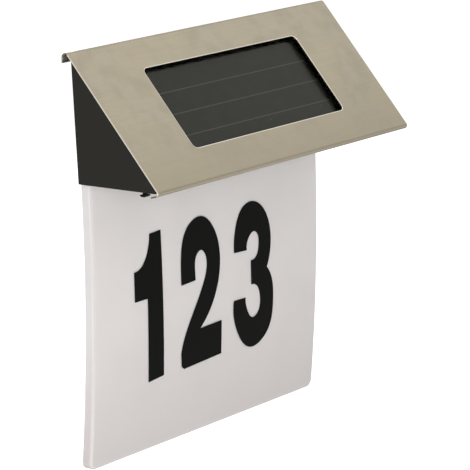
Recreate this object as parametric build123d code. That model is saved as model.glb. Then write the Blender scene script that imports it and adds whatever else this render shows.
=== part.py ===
from build123d import *
import math
import os

# Solar house number sign: a folded steel roof with a solar panel sits on a black wedge-shaped
# housing, and a bowed opal panel with the digits hangs from the housing's back.
# Millimetres. X to the viewer's right, Y back to the wall (the wall is y = 0), Z up.
# Heights are measured from the underside's rear edge; the finished pieces are then moved so that
# the origin is the middle of the back cover's wall face.

# Overall
ROOF_WIDTH = 180.0
SLOPE_ANGLE = 48.2
EAVE_DEPTH = 48.95        # wall to the roof's outer plane at its front edge
EAVE_HEIGHT = 1.2         # height of that front edge
ORIGIN_HEIGHT = 24.0      # middle of the back cover

# Steel roof
SHEET = 0.6
CURL_RADIUS = 1.9         # outer radius of the rear bend
LIP_LENGTH = 2.3          # straight lip below the rear bend
BEND_RADIUS = 1.4         # outer radius of the front bend
BEND_START = 1.1          # front edge of the roof plane to the bend
FLANGE_LENGTH = 2.8
FLANGE_ANGLE = 19.0       # how far the flange drops towards its end
WINDOW_WIDTH = 107.4
WINDOW_LENGTH = 40.05
WINDOW_START = 15.3       # front edge of the roof plane to the window
WINDOW_SHIFT = 0.8        # window and solar panel sit this far to the right
WINDOW_CORNER = 2.6
ROOF_CUT = 2.0            # how far the window's cut passes the sheet

# Tape under the roof
TAPE = 0.15
TAPE_SIDE_INSET = 4.0
TAPE_START = 4.0
TAPE_END_INSET = 6.5      # tape's upper edge to the rear bend
TAPE_WINDOW = 0.5         # tape's window to the solar panel

# Housing
HOUSING_SIDE_INSET = 0.2  # roof edge to the housing's side
WALL = 2.0
FOOT_GAP = 7.85           # wall to the underside's rear edge
BACK_LEAN = 3.55          # the back edge leans to the wall
UNDERSIDE_RISE = 1.37     # the underside rises to the front
NOSE_CUT = 1.3            # flat on the front lower edge
FLOOR_TOP = 3.0
BOX_HALF_WIDTH = 77.0     # deeper middle part that reaches the back cover
BOX_DROP = 1.67           # roof's rear lip to the top of that part

# Solar panel
MODULE_SIDE_LAP = 2.3     # how far the panel passes the window
MODULE_LOW_LAP = 4.2
MODULE_HIGH_LAP = 1.75
MODULE_DROP = 1.1         # roof's underside to the clear layer
CLEAR_THICKNESS = 0.8
CELL_THICKNESS = 0.3
BOARD_THICKNESS = 1.2
MODULE_GAP = 0.3          # round the panel in its pocket
CELL_COUNT = 4
CELL_LEFT_MARGIN = 4.5    # board's edges to the cells
CELL_RIGHT_MARGIN = 3.1
CELL_LOW_MARGIN = 1.1
CELL_HIGH_MARGIN = 2.9
BUSBAR = 0.5
POCKET_WALL = 1.6
WIRE_SLOT_LENGTH = 8.0
WIRE_SLOT_WIDTH = 3.0
WIRE_SLOT_START = 20.0
SOLAR_WIRE_X = -40.0

# Back cover
COVER_THICKNESS = 2.0
GASKET = 0.8
COVER_BOTTOM = 0.2
COVER_SCREW_X = 64.0
COVER_SCREW_LOW = 9.0
HIGH_SCREW_DROP = 8.0     # housing's top to the upper screws
COVER_SCREW_RADIUS = 1.45
COVER_SCREW_HEAD = 2.9
LOW_SCREW_LENGTH = 15.0
HIGH_SCREW_LENGTH = 9.0
HEAD_DEPTH = 1.4
HEAD_SUNK = 0.1
BOSS_RADIUS = 3.5
LOW_BOSS_LENGTH = 14.0
HIGH_BOSS_LENGTH = 10.0
WEB = 2.0
THREAD_GAP = 0.05
SCREW_PLAY = 0.25
HOLE_REST = 0.5           # hole beyond a screw's tip
TIP_SHARE = 0.3           # tip's radius as a share of the shank's

# Keyholes
KEYHOLE_SPACING = 80.0
KEYHOLE_HEIGHT = 20.0
KEYHOLE_HEAD_RADIUS = 4.5
KEYHOLE_NECK_RADIUS = 2.3
KEYHOLE_RISE = 9.0
POCKET_DEPTH = 4.8
POCKET_SIDE = 1.5
POCKET_SHELL = 1.2

# Number panel
PANEL_WIDTH = 160.4
PANEL_THICKNESS = 4.6
PANEL_TOP = -0.3
PANEL_BOTTOM = -124.05
PANEL_BOW_RADIUS = 899.0
PANEL_CREST_HEIGHT = -54.2
PANEL_CREST_DEPTH = 7.34  # wall to the most forward line of the panel
PANEL_CORNER = 3.5
PANEL_EDGE = 1.1
TAB_WIDTH = 14.0
TAB_ABOVE_SCREW = 6.0
TAB_THICKNESS = 3.1
TAB_PLAY = 0.35           # back cover to the tab
TAB_GAP = 0.3

# Digits
DIGIT_HEIGHT = 66.2
DIGIT_TOP = -28.0
DIGIT_1_LEFT = -53.7
DIGIT_2_LEFT = -21.7
DIGIT_3_LEFT = 16.45
DIGIT_THICKNESS = 0.2
DIGIT_GAP = 0.03

# Light
LED_COUNT = 4
LED_END_MARGIN = 9.0      # board's end to the middle of the first LED
LED_LENGTH = 3.5
LED_WIDTH = 2.8
LED_HEIGHT = 1.9
LED_DEPTH = 3.6           # wall to the middle of the LEDs
LED_BOARD_LENGTH = 96.0
LED_BOARD_WIDTH = 4.3
LED_BOARD_BACK = 2.3
LED_BOARD_THICKNESS = 1.0
LED_BOARD_LIFT = 1.2      # floor to the board
LIGHT_SLOT_MARGIN = 2.0   # slot beyond the board's ends
LIGHT_SLOT_LEDGE = 1.4    # board's front edge to the slot's
LEDGE = 4.0
LENS_THICKNESS = 1.2
LENS_GAP = 0.2

# Battery
BATTERY_RADIUS = 7.1
BATTERY_LENGTH = 49.2
BATTERY_NUB_RADIUS = 2.75
BATTERY_NUB = 1.3
BATTERY_EDGE = 0.5
BATTERY_X = 20.0          # middle of the bay
BATTERY_REST = 0.25       # door's pad to the battery
BATTERY_ROOM = 2.6        # battery to the solar panel's pocket
BAY_WALL = 1.6
BAY_FRONT_ROOM = 2.6      # battery to the bay's front and back
BAY_BACK_ROOM = 1.4
BAY_WALL_RISE = 1.85      # contact plate to the top of the bay's end wall
CONTACT = 0.4
CONTACT_REACH = 4.8       # battery's axis to a contact plate's edge
NOTCH_WIDTH = 4.0         # wire notch in the bay's left wall
NOTCH_HEIGHT = 6.0
SADDLE_X = 12.0
SADDLE_BACK = 5.0         # battery's axis to the saddle's back edge
SADDLE_GAP = 0.2
SPRING_LENGTH = 4.7
SPRING_RADIUS = 3.4
SPRING_WIRE = 0.7

# Battery door
DOOR_END = 2.8            # screw to the door's end
DOOR_SIDE = 1.8           # hatch to the door's long edge
DOOR_TOP = 1.7
DOOR_GAP = 0.3
DOOR_LIFT_GAP = 0.1
HATCH_END = 1.0           # bay's end wall to the hatch
HATCH_ROOM = 0.6          # battery to the hatch's edge
DOOR_SCREW_OUT = 3.2      # bay's end to a screw
DOOR_SCREW_RADIUS = 1.2
DOOR_SCREW_HEAD = 2.2
DOOR_SCREW_LENGTH = 6.0
DOOR_BOSS_RADIUS = 2.6
DOOR_BOSS_REST = 2.5      # screw's tip to the boss's top
DOOR_HEAD_DEPTH = 0.9
DOOR_HEAD_SUNK = 0.2
DOOR_PAD_LENGTH = 40.0
DOOR_PAD_WIDTH = 9.0
DOOR_PAD = 1.3

# Switch
NUB_SIDE = 5.2            # roof's side edge to the nub
NUB_FRONT = 10.95         # roof's front edge to the nub
NUB_LENGTH = 3.9
NUB_WIDTH = 2.2
NUB_BOTTOM = -2.0
NUB_HEIGHT = 0.9          # the stem shows between the nub and the floor
NUB_CHAMFER = 0.4
NUB_GROOVE = 0.4
NUB_GROOVE_DEPTH = 0.3
NUB_GROOVE_PITCH = 1.1
NUB_TRAVEL = 2.0
NUB_GAP = 0.3
NUB_STEM = 1.4
NUB_STEM_RISE = 1.6       # how far the stem stands into the switch
SWITCH_END_WALL = 1.8
SWITCH_WIDTH = 3.7
SWITCH_HEIGHT = 3.5
SWITCH_ROOM = 2.0

# Control board
CONTROL_X = -38.0
CONTROL_WIDTH = 40.0
CONTROL_LIFT = 1.0        # floor to the board
CONTROL_HEIGHT = 20.0
CONTROL_ROOM = 4.8        # keyhole pocket to the board
CONTROL_THICKNESS = 1.2
CONTROL_SCREW_X = 14.0
CONTROL_SCREW_RISE = 15.0 # board's lower edge to the screws
CONTROL_SCREW_RADIUS = 1.1
CONTROL_SCREW_HEAD = 2.1
CONTROL_HEAD_DEPTH = 1.2
CONTROL_HEAD_EDGE = 0.5
CONTROL_RECESS = 0.7
CONTROL_SCREW_LENGTH = 5.5
POST_RADIUS = 2.5
POST_LENGTH = 6.0
POST_WEB = 1.6

# Components on the control board
CHIP_SIZE = 5.0
CHIP_HEIGHT = 1.5
CHIP_RISE = 13.0          # board's lower edge to the chips
SMALL_CHIP = 3.0
SMALL_CHIP_HEIGHT = 1.2
SMALL_CHIP_X = 6.5        # board's middle to the small chip
PARTS_RISE = 4.4          # board's lower edge to the choke and the capacitor
COIL_RADIUS = 2.6
COIL_CORE_RADIUS = 1.7
COIL_FLANGE = 0.7
COIL_HEIGHT = 3.6
COIL_X = 8.0
CAPACITOR_RADIUS = 2.0
CAPACITOR_HEIGHT = 3.8
CAPACITOR_X = -1.0

# Wires
SOLAR_WIRE_SPREAD = 2.0
SOLAR_WIRE_DROP = 5.0
LED_WIRE_INSET = 1.0      # light board's end to the first light wire
LED_WIRE_PITCH = 3.0
LED_WIRE_RISE = 5.0       # control board's lower edge to these wires
SWITCH_WIRE_INSET = 1.6
SWITCH_WIRE_LOW = 0.9
SWITCH_WIRE_HIGH = 2.6
SWITCH_WIRE_RUN = 9.0
SWITCH_WIRE_STEP = 12.0
BATTERY_WIRE_INSET = 3.0
PLUS_WIRE_HEIGHT = 10.0
PLUS_WIRE_FRONT = 2.8     # control board to the wire's long run
MINUS_WIRE_HEIGHT = 12.0
MINUS_WIRE_SET_BACK = 2.6
WIRE_RADIUS = 0.55
WIRE_BEND = 0.45

# Shared by several cuts
PAST = 1.0                # how far a cut passes what it opens
FAR = 400.0

SLOPE_COS = math.cos(math.radians(SLOPE_ANGLE))
SLOPE_SIN = math.sin(math.radians(SLOPE_ANGLE))
HOUSING_TOP = -(SHEET + TAPE)
MODULE_TOP = -(SHEET + MODULE_DROP)
CELLS_TOP = MODULE_TOP - CLEAR_THICKNESS
BOARD_TOP = CELLS_TOP - CELL_THICKNESS
BOARD_BOTTOM = BOARD_TOP - BOARD_THICKNESS
POCKET_BOTTOM = BOARD_BOTTOM - POCKET_WALL
WALL_BOTTOM = HOUSING_TOP - WALL
HOUSING_HALF = ROOF_WIDTH / 2 - HOUSING_SIDE_INSET
RIM_DEPTH = COVER_THICKNESS + GASKET
CURL_START = (EAVE_DEPTH - CURL_RADIUS * (1 + SLOPE_SIN)) / SLOPE_COS
LIP_END = EAVE_HEIGHT + CURL_START * SLOPE_SIN - CURL_RADIUS * SLOPE_COS - LIP_LENGTH
BOX_TOP = LIP_END - BOX_DROP
COVER_SCREW_HIGH = BOX_TOP - HIGH_SCREW_DROP

MODULE_WIDTH = WINDOW_WIDTH + 2 * MODULE_SIDE_LAP
MODULE_START = WINDOW_START - MODULE_LOW_LAP
MODULE_LENGTH = MODULE_LOW_LAP + WINDOW_LENGTH + MODULE_HIGH_LAP
CELL_WIDTH = MODULE_WIDTH - CELL_LEFT_MARGIN - CELL_RIGHT_MARGIN
CELL_SHIFT = (CELL_LEFT_MARGIN - CELL_RIGHT_MARGIN) / 2
CELL_PITCH = (MODULE_LENGTH - CELL_LOW_MARGIN - CELL_HIGH_MARGIN) / CELL_COUNT

TAB_BACK = COVER_THICKNESS + TAB_PLAY
TAB_FRONT = TAB_BACK + TAB_THICKNESS
TAB_HEIGHT = COVER_SCREW_LOW + TAB_ABOVE_SCREW

LED_PITCH = (LED_BOARD_LENGTH - 2 * LED_END_MARGIN) / (LED_COUNT - 1)
LED_BOARD_HEIGHT = FLOOR_TOP + LED_BOARD_LIFT
LIGHT_SLOT_LENGTH = LED_BOARD_LENGTH + 2 * LIGHT_SLOT_MARGIN
LIGHT_SLOT_FRONT = LED_BOARD_BACK + LED_BOARD_WIDTH - LIGHT_SLOT_LEDGE

BATTERY_HEIGHT = DOOR_TOP + DOOR_PAD + BATTERY_REST + BATTERY_RADIUS
BATTERY_BELOW = BATTERY_RADIUS + BATTERY_ROOM - POCKET_BOTTOM
BATTERY_DEPTH = EAVE_DEPTH - ((BATTERY_HEIGHT - EAVE_HEIGHT) * SLOPE_COS + BATTERY_BELOW) / SLOPE_SIN
BAY_LENGTH = BATTERY_LENGTH + BATTERY_NUB + SPRING_LENGTH + 2 * CONTACT
BAY_LOW_X = BATTERY_X - BAY_LENGTH / 2
BAY_HIGH_X = BATTERY_X + BAY_LENGTH / 2
BAY_FRONT = BATTERY_DEPTH + BATTERY_RADIUS + BAY_FRONT_ROOM
BAY_BACK = BATTERY_DEPTH - BATTERY_RADIUS - BAY_BACK_ROOM
BAY_TOP = BATTERY_HEIGHT + CONTACT_REACH + BAY_WALL_RISE
HATCH_LENGTH = BAY_LENGTH - 2 * HATCH_END
HATCH_WIDTH = 2 * (BATTERY_RADIUS + HATCH_ROOM)
DOOR_SCREW_X = BAY_LENGTH / 2 + DOOR_SCREW_OUT
DOOR_LENGTH = 2 * (DOOR_SCREW_X + DOOR_END)
DOOR_WIDTH = HATCH_WIDTH + 2 * DOOR_SIDE
DOOR_BOSS_TOP = DOOR_SCREW_LENGTH + DOOR_HEAD_SUNK + DOOR_BOSS_REST

NUB_X = NUB_SIDE - ROOF_WIDTH / 2
NUB_DEPTH = EAVE_DEPTH - NUB_FRONT
NUB_TOP = NUB_BOTTOM + NUB_HEIGHT
SWITCH_LENGTH = NUB_STEM + NUB_TRAVEL + 2 * (NUB_GAP + SWITCH_END_WALL)

CONTROL_BACK = COVER_THICKNESS + POCKET_DEPTH + POCKET_SHELL + CONTROL_ROOM
CONTROL_FRONT = CONTROL_BACK + CONTROL_THICKNESS
CONTROL_LOW = FLOOR_TOP + CONTROL_LIFT
CONTROL_SCREW_HEIGHT = CONTROL_LOW + CONTROL_SCREW_RISE
CHIP_MIDDLE = CONTROL_LOW + CHIP_RISE
PARTS_MIDDLE = CONTROL_LOW + PARTS_RISE
LED_WIRE_X = LED_WIRE_INSET - LED_BOARD_LENGTH / 2
LED_WIRE_HEIGHT = CONTROL_LOW + LED_WIRE_RISE
PLUS_WIRE_DEPTH = CONTROL_FRONT + PLUS_WIRE_FRONT

SLOPE = Plane(origin=(0, -EAVE_DEPTH, EAVE_HEIGHT), x_dir=(1, 0, 0), z_dir=(0, -SLOPE_SIN, SLOPE_COS))


def block(x0, x1, y0, y1, z0, z1):
    """A box between two corners."""
    solid = Box(x1 - x0, y1 - y0, z1 - z0, align=(Align.MIN, Align.MIN, Align.MIN))
    return Pos(x0, y0, z0) * solid


def slope_block(x0, x1, t0, t1, n0, n1):
    """A box in the roof plane's own axes: x, up the slope, and out of it."""
    return SLOPE * block(x0, x1, t0, t1, n0, n1)


def prism(points, x0, x1):
    """A profile of (y, z) points run along X."""
    profile = make_face(Polyline(*points, close=True))
    return extrude(Plane.YZ.offset(x0) * profile, amount=x1 - x0)


def rod_y(x, z, radius, y0, y1):
    """A round bar along Y."""
    bar = Cylinder(radius, y1 - y0, rotation=(90, 0, 0))
    return Pos(x, (y0 + y1) / 2, z) * bar


def rod_x(y, z, radius, x0, x1):
    """A round bar along X."""
    bar = Cylinder(radius, x1 - x0, rotation=(0, 90, 0))
    return Pos((x0 + x1) / 2, y, z) * bar


def rod_z(x, y, radius, z0, z1):
    """An upright round bar."""
    return Pos(x, y, (z0 + z1) / 2) * Cylinder(radius, z1 - z0)


def slope_point(t, n):
    """(y, z) of a point t up the roof plane and n out of it."""
    y = -EAVE_DEPTH + t * SLOPE_COS - n * SLOPE_SIN
    z = EAVE_HEIGHT + t * SLOPE_SIN + n * SLOPE_COS
    return (y, z)


def slope_at_height(z, n):
    """(y, z) of the point at a height on a plane n out of the roof."""
    t = (z - EAVE_HEIGHT - n * SLOPE_COS) / SLOPE_SIN
    return slope_point(t, n)


def slope_height_at(y, n):
    """Height at a depth on a plane n out of the roof."""
    return EAVE_HEIGHT + ((y + EAVE_DEPTH) * SLOPE_SIN + n) / SLOPE_COS


def underside_at(y):
    """Height of the underside at a depth."""
    return (-FOOT_GAP - y) * math.tan(math.radians(UNDERSIDE_RISE))


def back_edge_at(z):
    """Depth of the side's back edge at a height."""
    return -FOOT_GAP + z * math.tan(math.radians(BACK_LEAN))


def on_circle(centre, radius, degrees):
    """(y, z) of a point on a circle."""
    angle = math.radians(degrees)
    return (centre[0] + radius * math.cos(angle), centre[1] + radius * math.sin(angle))


def arc_between(centre, radius, start, end):
    """An arc from one angle to another, in degrees."""
    first = on_circle(centre, radius, start)
    middle = on_circle(centre, radius, (start + end) / 2)
    last = on_circle(centre, radius, end)
    return ThreePointArc(first, middle, last)


def nose_height():
    """Height of the housing's front lower corner."""
    rise = math.tan(math.radians(UNDERSIDE_RISE))
    y0, z0 = slope_point(0, HOUSING_TOP)
    slope = SLOPE_SIN / SLOPE_COS
    y = (-FOOT_GAP * rise - z0 + slope * y0) / (slope + rise)
    return underside_at(y)


def apex_height(n):
    """Height where a plane n out of the roof meets the side's back edge."""
    lean = math.tan(math.radians(BACK_LEAN))
    y0, z0 = slope_point(0, n)
    slope = SLOPE_SIN / SLOPE_COS
    return (z0 - slope * (y0 + FOOT_GAP)) / (1 - slope * lean)


def roof_cover():
    """Folded sheet: front flange, sloping face with the window, rear bend and lip."""
    curl = slope_point(CURL_START, -CURL_RADIUS)
    bend = slope_point(BEND_START, -BEND_RADIUS)
    face_angle = 90 + SLOPE_ANGLE
    flange_angle = 270 - FLANGE_ANGLE
    run_y = FLANGE_LENGTH * math.cos(math.radians(FLANGE_ANGLE))
    run_z = -FLANGE_LENGTH * math.sin(math.radians(FLANGE_ANGLE))
    outer_root = on_circle(bend, BEND_RADIUS, flange_angle)
    inner_root = on_circle(bend, BEND_RADIUS - SHEET, flange_angle)
    outer_end = (outer_root[0] + run_y, outer_root[1] + run_z)
    inner_end = (inner_root[0] + run_y, inner_root[1] + run_z)
    curl_out = arc_between(curl, CURL_RADIUS, face_angle, 0)
    curl_in = arc_between(curl, CURL_RADIUS - SHEET, 0, face_angle)
    bend_out = arc_between(bend, BEND_RADIUS, flange_angle, face_angle)
    bend_in = arc_between(bend, BEND_RADIUS - SHEET, face_angle, flange_angle)
    outline = [
        Line(outer_end, bend_out @ 0),
        bend_out,
        Line(bend_out @ 1, curl_out @ 0),
        curl_out,
        Line(curl_out @ 1, (0, LIP_END)),
        Line((0, LIP_END), (-SHEET, LIP_END)),
        Line((-SHEET, LIP_END), curl_in @ 0),
        curl_in,
        Line(curl_in @ 1, bend_in @ 0),
        bend_in,
        Line(bend_in @ 1, inner_end),
        Line(inner_end, outer_end),
    ]
    profile = make_face(outline)
    sheet = extrude(Plane.YZ.offset(-ROOF_WIDTH / 2) * profile, amount=ROOF_WIDTH)
    window = RectangleRounded(WINDOW_WIDTH, WINDOW_LENGTH, WINDOW_CORNER)
    middle = WINDOW_START + WINDOW_LENGTH / 2
    hole = extrude(SLOPE * (Pos(WINDOW_SHIFT, middle) * window), amount=ROOF_CUT, both=True)
    return sheet - hole


def cover_tape():
    """Thin adhesive frame between the roof and the housing."""
    half = ROOF_WIDTH / 2 - TAPE_SIDE_INSET
    ring = slope_block(-half, half, TAPE_START, CURL_START - TAPE_END_INSET, HOUSING_TOP, -SHEET)
    return ring - module_pocket(TAPE_WINDOW)


def module_pocket(gap):
    """Space for the solar panel, open at the top."""
    half = MODULE_WIDTH / 2 + gap
    low = WINDOW_SHIFT - half
    high = WINDOW_SHIFT + half
    return slope_block(low, high, MODULE_START - gap, MODULE_START + MODULE_LENGTH + gap, BOARD_BOTTOM, FAR)


def housing_outline():
    """Outer shape of the housing: the full-width wedge and the deeper middle box."""
    nose = slope_at_height(nose_height(), HOUSING_TOP)
    nose_back = (nose[0] + NOSE_CUT, underside_at(nose[0] + NOSE_CUT))
    nose_up = slope_at_height(nose[1] + NOSE_CUT * SLOPE_SIN, HOUSING_TOP)
    foot = (-FOOT_GAP, 0)
    apex = slope_at_height(apex_height(HOUSING_TOP), HOUSING_TOP)
    wedge = prism([foot, nose_back, nose_up, apex], -HOUSING_HALF, HOUSING_HALF)
    top_front = slope_at_height(BOX_TOP, HOUSING_TOP)
    box_points = [foot, nose_back, nose_up, top_front, (-RIM_DEPTH, BOX_TOP), (-RIM_DEPTH, 0)]
    return wedge + prism(box_points, -BOX_HALF_WIDTH, BOX_HALF_WIDTH)


def housing_cavity():
    """Hollow of the housing, open at the back of the middle box."""
    front = slope_at_height(FLOOR_TOP, WALL_BOTTOM)
    lean = math.tan(math.radians(BACK_LEAN))
    top = apex_height(WALL_BOTTOM) - WALL * SLOPE_SIN / (SLOPE_COS - lean * SLOPE_SIN)
    side_points = [front, (back_edge_at(FLOOR_TOP) - WALL, FLOOR_TOP), (back_edge_at(top) - WALL, top)]
    side_half = HOUSING_HALF - WALL
    ends = prism(side_points, -side_half, side_half)
    box_top = BOX_TOP - WALL
    box_points = [front, (WALL, FLOOR_TOP), (WALL, box_top), slope_at_height(box_top, WALL_BOTTOM)]
    middle_half = BOX_HALF_WIDTH - WALL
    return ends + prism(box_points, -middle_half, middle_half)


def screw_bosses():
    """Bosses that take the back cover's screws."""
    parts = []
    for side in (-1, 1):
        x = side * COVER_SCREW_X
        low_front = -TAB_FRONT - TAB_GAP
        parts.append(rod_y(x, COVER_SCREW_LOW, BOSS_RADIUS, low_front - LOW_BOSS_LENGTH, low_front))
        parts.append(block(x - WEB / 2, x + WEB / 2, low_front - LOW_BOSS_LENGTH, low_front,
                           FLOOR_TOP - WALL / 2, COVER_SCREW_LOW))
        parts.append(rod_y(x, COVER_SCREW_HIGH, BOSS_RADIUS, -RIM_DEPTH - HIGH_BOSS_LENGTH, -RIM_DEPTH))
    return parts


def board_posts():
    """Posts that carry the control board, each on a web from the floor."""
    parts = []
    for side in (-1, 1):
        x = CONTROL_X + side * CONTROL_SCREW_X
        end = -CONTROL_FRONT
        parts.append(rod_y(x, CONTROL_SCREW_HEIGHT, POST_RADIUS, end - POST_LENGTH, end))
        parts.append(block(x - POST_WEB / 2, x + POST_WEB / 2, end - POST_LENGTH, end,
                           FLOOR_TOP - WALL / 2, CONTROL_SCREW_HEIGHT))
    return parts


def battery_bay():
    """End walls and saddles of the battery bay, and the bosses of its door."""
    parts = []
    for low in (BAY_LOW_X - BAY_WALL, BAY_HIGH_X):
        parts.append(block(low, low + BAY_WALL, -BAY_FRONT, -BAY_BACK, FLOOR_TOP - WALL / 2, BAY_TOP))
    cell = rod_x(-BATTERY_DEPTH, BATTERY_HEIGHT, BATTERY_RADIUS + SADDLE_GAP, -FAR, FAR)
    for side in (-1, 1):
        x = BATTERY_X + side * SADDLE_X
        rib = block(x - WEB / 2, x + WEB / 2, -BAY_FRONT, -BATTERY_DEPTH + SADDLE_BACK,
                    BATTERY_HEIGHT, slope_height_at(-BATTERY_DEPTH, POCKET_BOTTOM))
        parts.append(rib - cell)
        screw_x = BATTERY_X + side * DOOR_SCREW_X
        parts.append(rod_z(screw_x, -BATTERY_DEPTH, DOOR_BOSS_RADIUS, DOOR_TOP, DOOR_BOSS_TOP))
    return parts


def led_ledges():
    """Two ledges that carry the light board above the floor."""
    parts = []
    front = -LED_BOARD_BACK - LED_BOARD_WIDTH
    for side in (-1, 1):
        x = side * (LED_BOARD_LENGTH - LEDGE) / 2
        parts.append(block(x - LEDGE / 2, x + LEDGE / 2, front, -LIGHT_SLOT_FRONT,
                           FLOOR_TOP - WALL / 2, LED_BOARD_HEIGHT))
    return parts


def floor_cuts():
    """Openings in the floor: light slot, tab slots, hatch, door recess and switch slot."""
    cuts = []
    half = LIGHT_SLOT_LENGTH / 2
    low = -PAST
    high = FLOOR_TOP + PAST / 2
    cuts.append(block(-half, half, -LIGHT_SLOT_FRONT, PAST, low, high))
    for side in (-1, 1):
        x = side * COVER_SCREW_X
        reach = TAB_WIDTH / 2 + TAB_GAP
        cuts.append(block(x - reach, x + reach, -TAB_FRONT - TAB_GAP, PAST, low, high))
    cuts.append(centred(HATCH_LENGTH, HATCH_WIDTH, low, high))
    cuts.append(centred(DOOR_LENGTH + 2 * DOOR_GAP, DOOR_WIDTH + 2 * DOOR_GAP, low, DOOR_TOP + DOOR_LIFT_GAP))
    cuts.append(block(NUB_X - NUB_LENGTH / 2 - NUB_GAP, NUB_X + NUB_LENGTH / 2 + NUB_TRAVEL + NUB_GAP,
                      -NUB_DEPTH - NUB_WIDTH / 2 - NUB_GAP, -NUB_DEPTH + NUB_WIDTH / 2 + NUB_GAP,
                      low, high))
    return cuts


def centred(length, width, z0, z1):
    """A box centred on the battery."""
    return block(BATTERY_X - length / 2, BATTERY_X + length / 2,
                 -BATTERY_DEPTH - width / 2, -BATTERY_DEPTH + width / 2, z0, z1)


def pilot_holes():
    """Screw holes in the housing's bosses and posts."""
    cuts = []
    radius = COVER_SCREW_RADIUS + THREAD_GAP
    for side in (-1, 1):
        x = side * COVER_SCREW_X
        cuts.append(rod_y(x, COVER_SCREW_LOW, radius, -LOW_SCREW_LENGTH - HOLE_REST, 0))
        cuts.append(rod_y(x, COVER_SCREW_HIGH, radius, -HIGH_SCREW_LENGTH - HOLE_REST, 0))
        x = CONTROL_X + side * CONTROL_SCREW_X
        cuts.append(rod_y(x, CONTROL_SCREW_HEIGHT, CONTROL_SCREW_RADIUS + THREAD_GAP,
                          -CONTROL_BACK - CONTROL_SCREW_LENGTH - HOLE_REST, -CONTROL_FRONT + PAST))
        x = BATTERY_X + side * DOOR_SCREW_X
        cuts.append(rod_z(x, -BATTERY_DEPTH, DOOR_SCREW_RADIUS + THREAD_GAP, 0,
                          DOOR_BOSS_TOP - DOOR_BOSS_REST + 2 * HOLE_REST))
    return cuts


def housing():
    """Black housing: hollow wedge with the solar panel's pocket and all bosses."""
    outline = housing_outline()
    half = MODULE_WIDTH / 2 + MODULE_GAP + POCKET_WALL
    tray = slope_block(WINDOW_SHIFT - half, WINDOW_SHIFT + half,
                       MODULE_START - MODULE_GAP - POCKET_WALL,
                       MODULE_START + MODULE_LENGTH + MODULE_GAP + POCKET_WALL,
                       POCKET_BOTTOM, HOUSING_TOP - WALL / 2)
    inside = [tray] + screw_bosses() + board_posts() + battery_bay() + led_ledges()
    shell = outline - housing_cavity()
    for piece in inside:
        shell += piece & outline
    shell -= module_pocket(MODULE_GAP)
    wire_slot = slope_block(SOLAR_WIRE_X - WIRE_SLOT_LENGTH / 2, SOLAR_WIRE_X + WIRE_SLOT_LENGTH / 2,
                            WIRE_SLOT_START - WIRE_SLOT_WIDTH / 2, WIRE_SLOT_START + WIRE_SLOT_WIDTH / 2,
                            POCKET_BOTTOM - PAST, 0)
    shell -= wire_slot
    for cut in floor_cuts() + pilot_holes():
        shell -= cut
    notch = block(BAY_LOW_X - BAY_WALL - PAST, BAY_LOW_X,
                  -PLUS_WIRE_DEPTH - NOTCH_WIDTH / 2, -PLUS_WIRE_DEPTH + NOTCH_WIDTH / 2,
                  PLUS_WIRE_HEIGHT - NOTCH_HEIGHT / 2, PLUS_WIRE_HEIGHT + NOTCH_HEIGHT / 2)
    return shell - notch


def keyhole(x):
    """Keyhole through the back cover, its neck pointing up."""
    front = -COVER_THICKNESS - PAST
    head = rod_y(x, KEYHOLE_HEIGHT, KEYHOLE_HEAD_RADIUS, front, PAST)
    top = KEYHOLE_HEIGHT + KEYHOLE_RISE
    neck = block(x - KEYHOLE_NECK_RADIUS, x + KEYHOLE_NECK_RADIUS, front, PAST, KEYHOLE_HEIGHT, top)
    end = rod_y(x, top, KEYHOLE_NECK_RADIUS, front, PAST)
    return head + neck + end


def keyhole_pocket(x, shell):
    """Closed cup behind a keyhole, or its hollow when shell is 0."""
    side = KEYHOLE_HEAD_RADIUS + POCKET_SIDE + shell
    low = KEYHOLE_HEIGHT - side
    high = KEYHOLE_HEIGHT + KEYHOLE_RISE + KEYHOLE_NECK_RADIUS + POCKET_SIDE + shell
    return block(x - side, x + side, -COVER_THICKNESS - POCKET_DEPTH - shell, -COVER_THICKNESS, low, high)


def countersunk_y(x, z, play):
    """Cone and clearance hole for a countersunk screw whose head is at the wall."""
    head = Pos(x, -HEAD_SUNK - HEAD_DEPTH / 2, z) * Cone(
        COVER_SCREW_RADIUS + play, COVER_SCREW_HEAD + play, HEAD_DEPTH, rotation=(-90, 0, 0))
    mouth = rod_y(x, z, COVER_SCREW_HEAD + play, -HEAD_SUNK, PAST)
    return head + mouth + rod_y(x, z, COVER_SCREW_RADIUS + play, -COVER_THICKNESS - PAST, 0)


def back_cover():
    """Plate that closes the housing and hangs on the wall, with two keyholes."""
    plate = block(-BOX_HALF_WIDTH, BOX_HALF_WIDTH, -COVER_THICKNESS, 0, COVER_BOTTOM, BOX_TOP)
    for x in (-KEYHOLE_SPACING / 2, KEYHOLE_SPACING / 2):
        plate += keyhole_pocket(x, POCKET_SHELL)
        plate -= keyhole_pocket(x, 0)
        plate -= keyhole(x)
    for x in (-COVER_SCREW_X, COVER_SCREW_X):
        plate -= countersunk_y(x, COVER_SCREW_LOW, SCREW_PLAY)
        plate -= countersunk_y(x, COVER_SCREW_HIGH, SCREW_PLAY)
    return plate


def back_gasket():
    """Seal between the housing's rim and the back cover, along the top and both sides."""
    outer = block(-BOX_HALF_WIDTH, BOX_HALF_WIDTH, -RIM_DEPTH, -COVER_THICKNESS, COVER_BOTTOM, BOX_TOP)
    inner_half = BOX_HALF_WIDTH - WALL
    return outer - block(-inner_half, inner_half, -RIM_DEPTH - PAST, 0, -PAST, BOX_TOP - WALL)


def cross_recess(radius, depth):
    """Cross-shaped driver recess, pointing down from z = 0."""
    arm = radius * 0.62
    width = radius * 0.2
    one = block(-arm, arm, -width, width, -depth, PAST)
    two = block(-width, width, -arm, arm, -depth, PAST)
    return one + two


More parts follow.
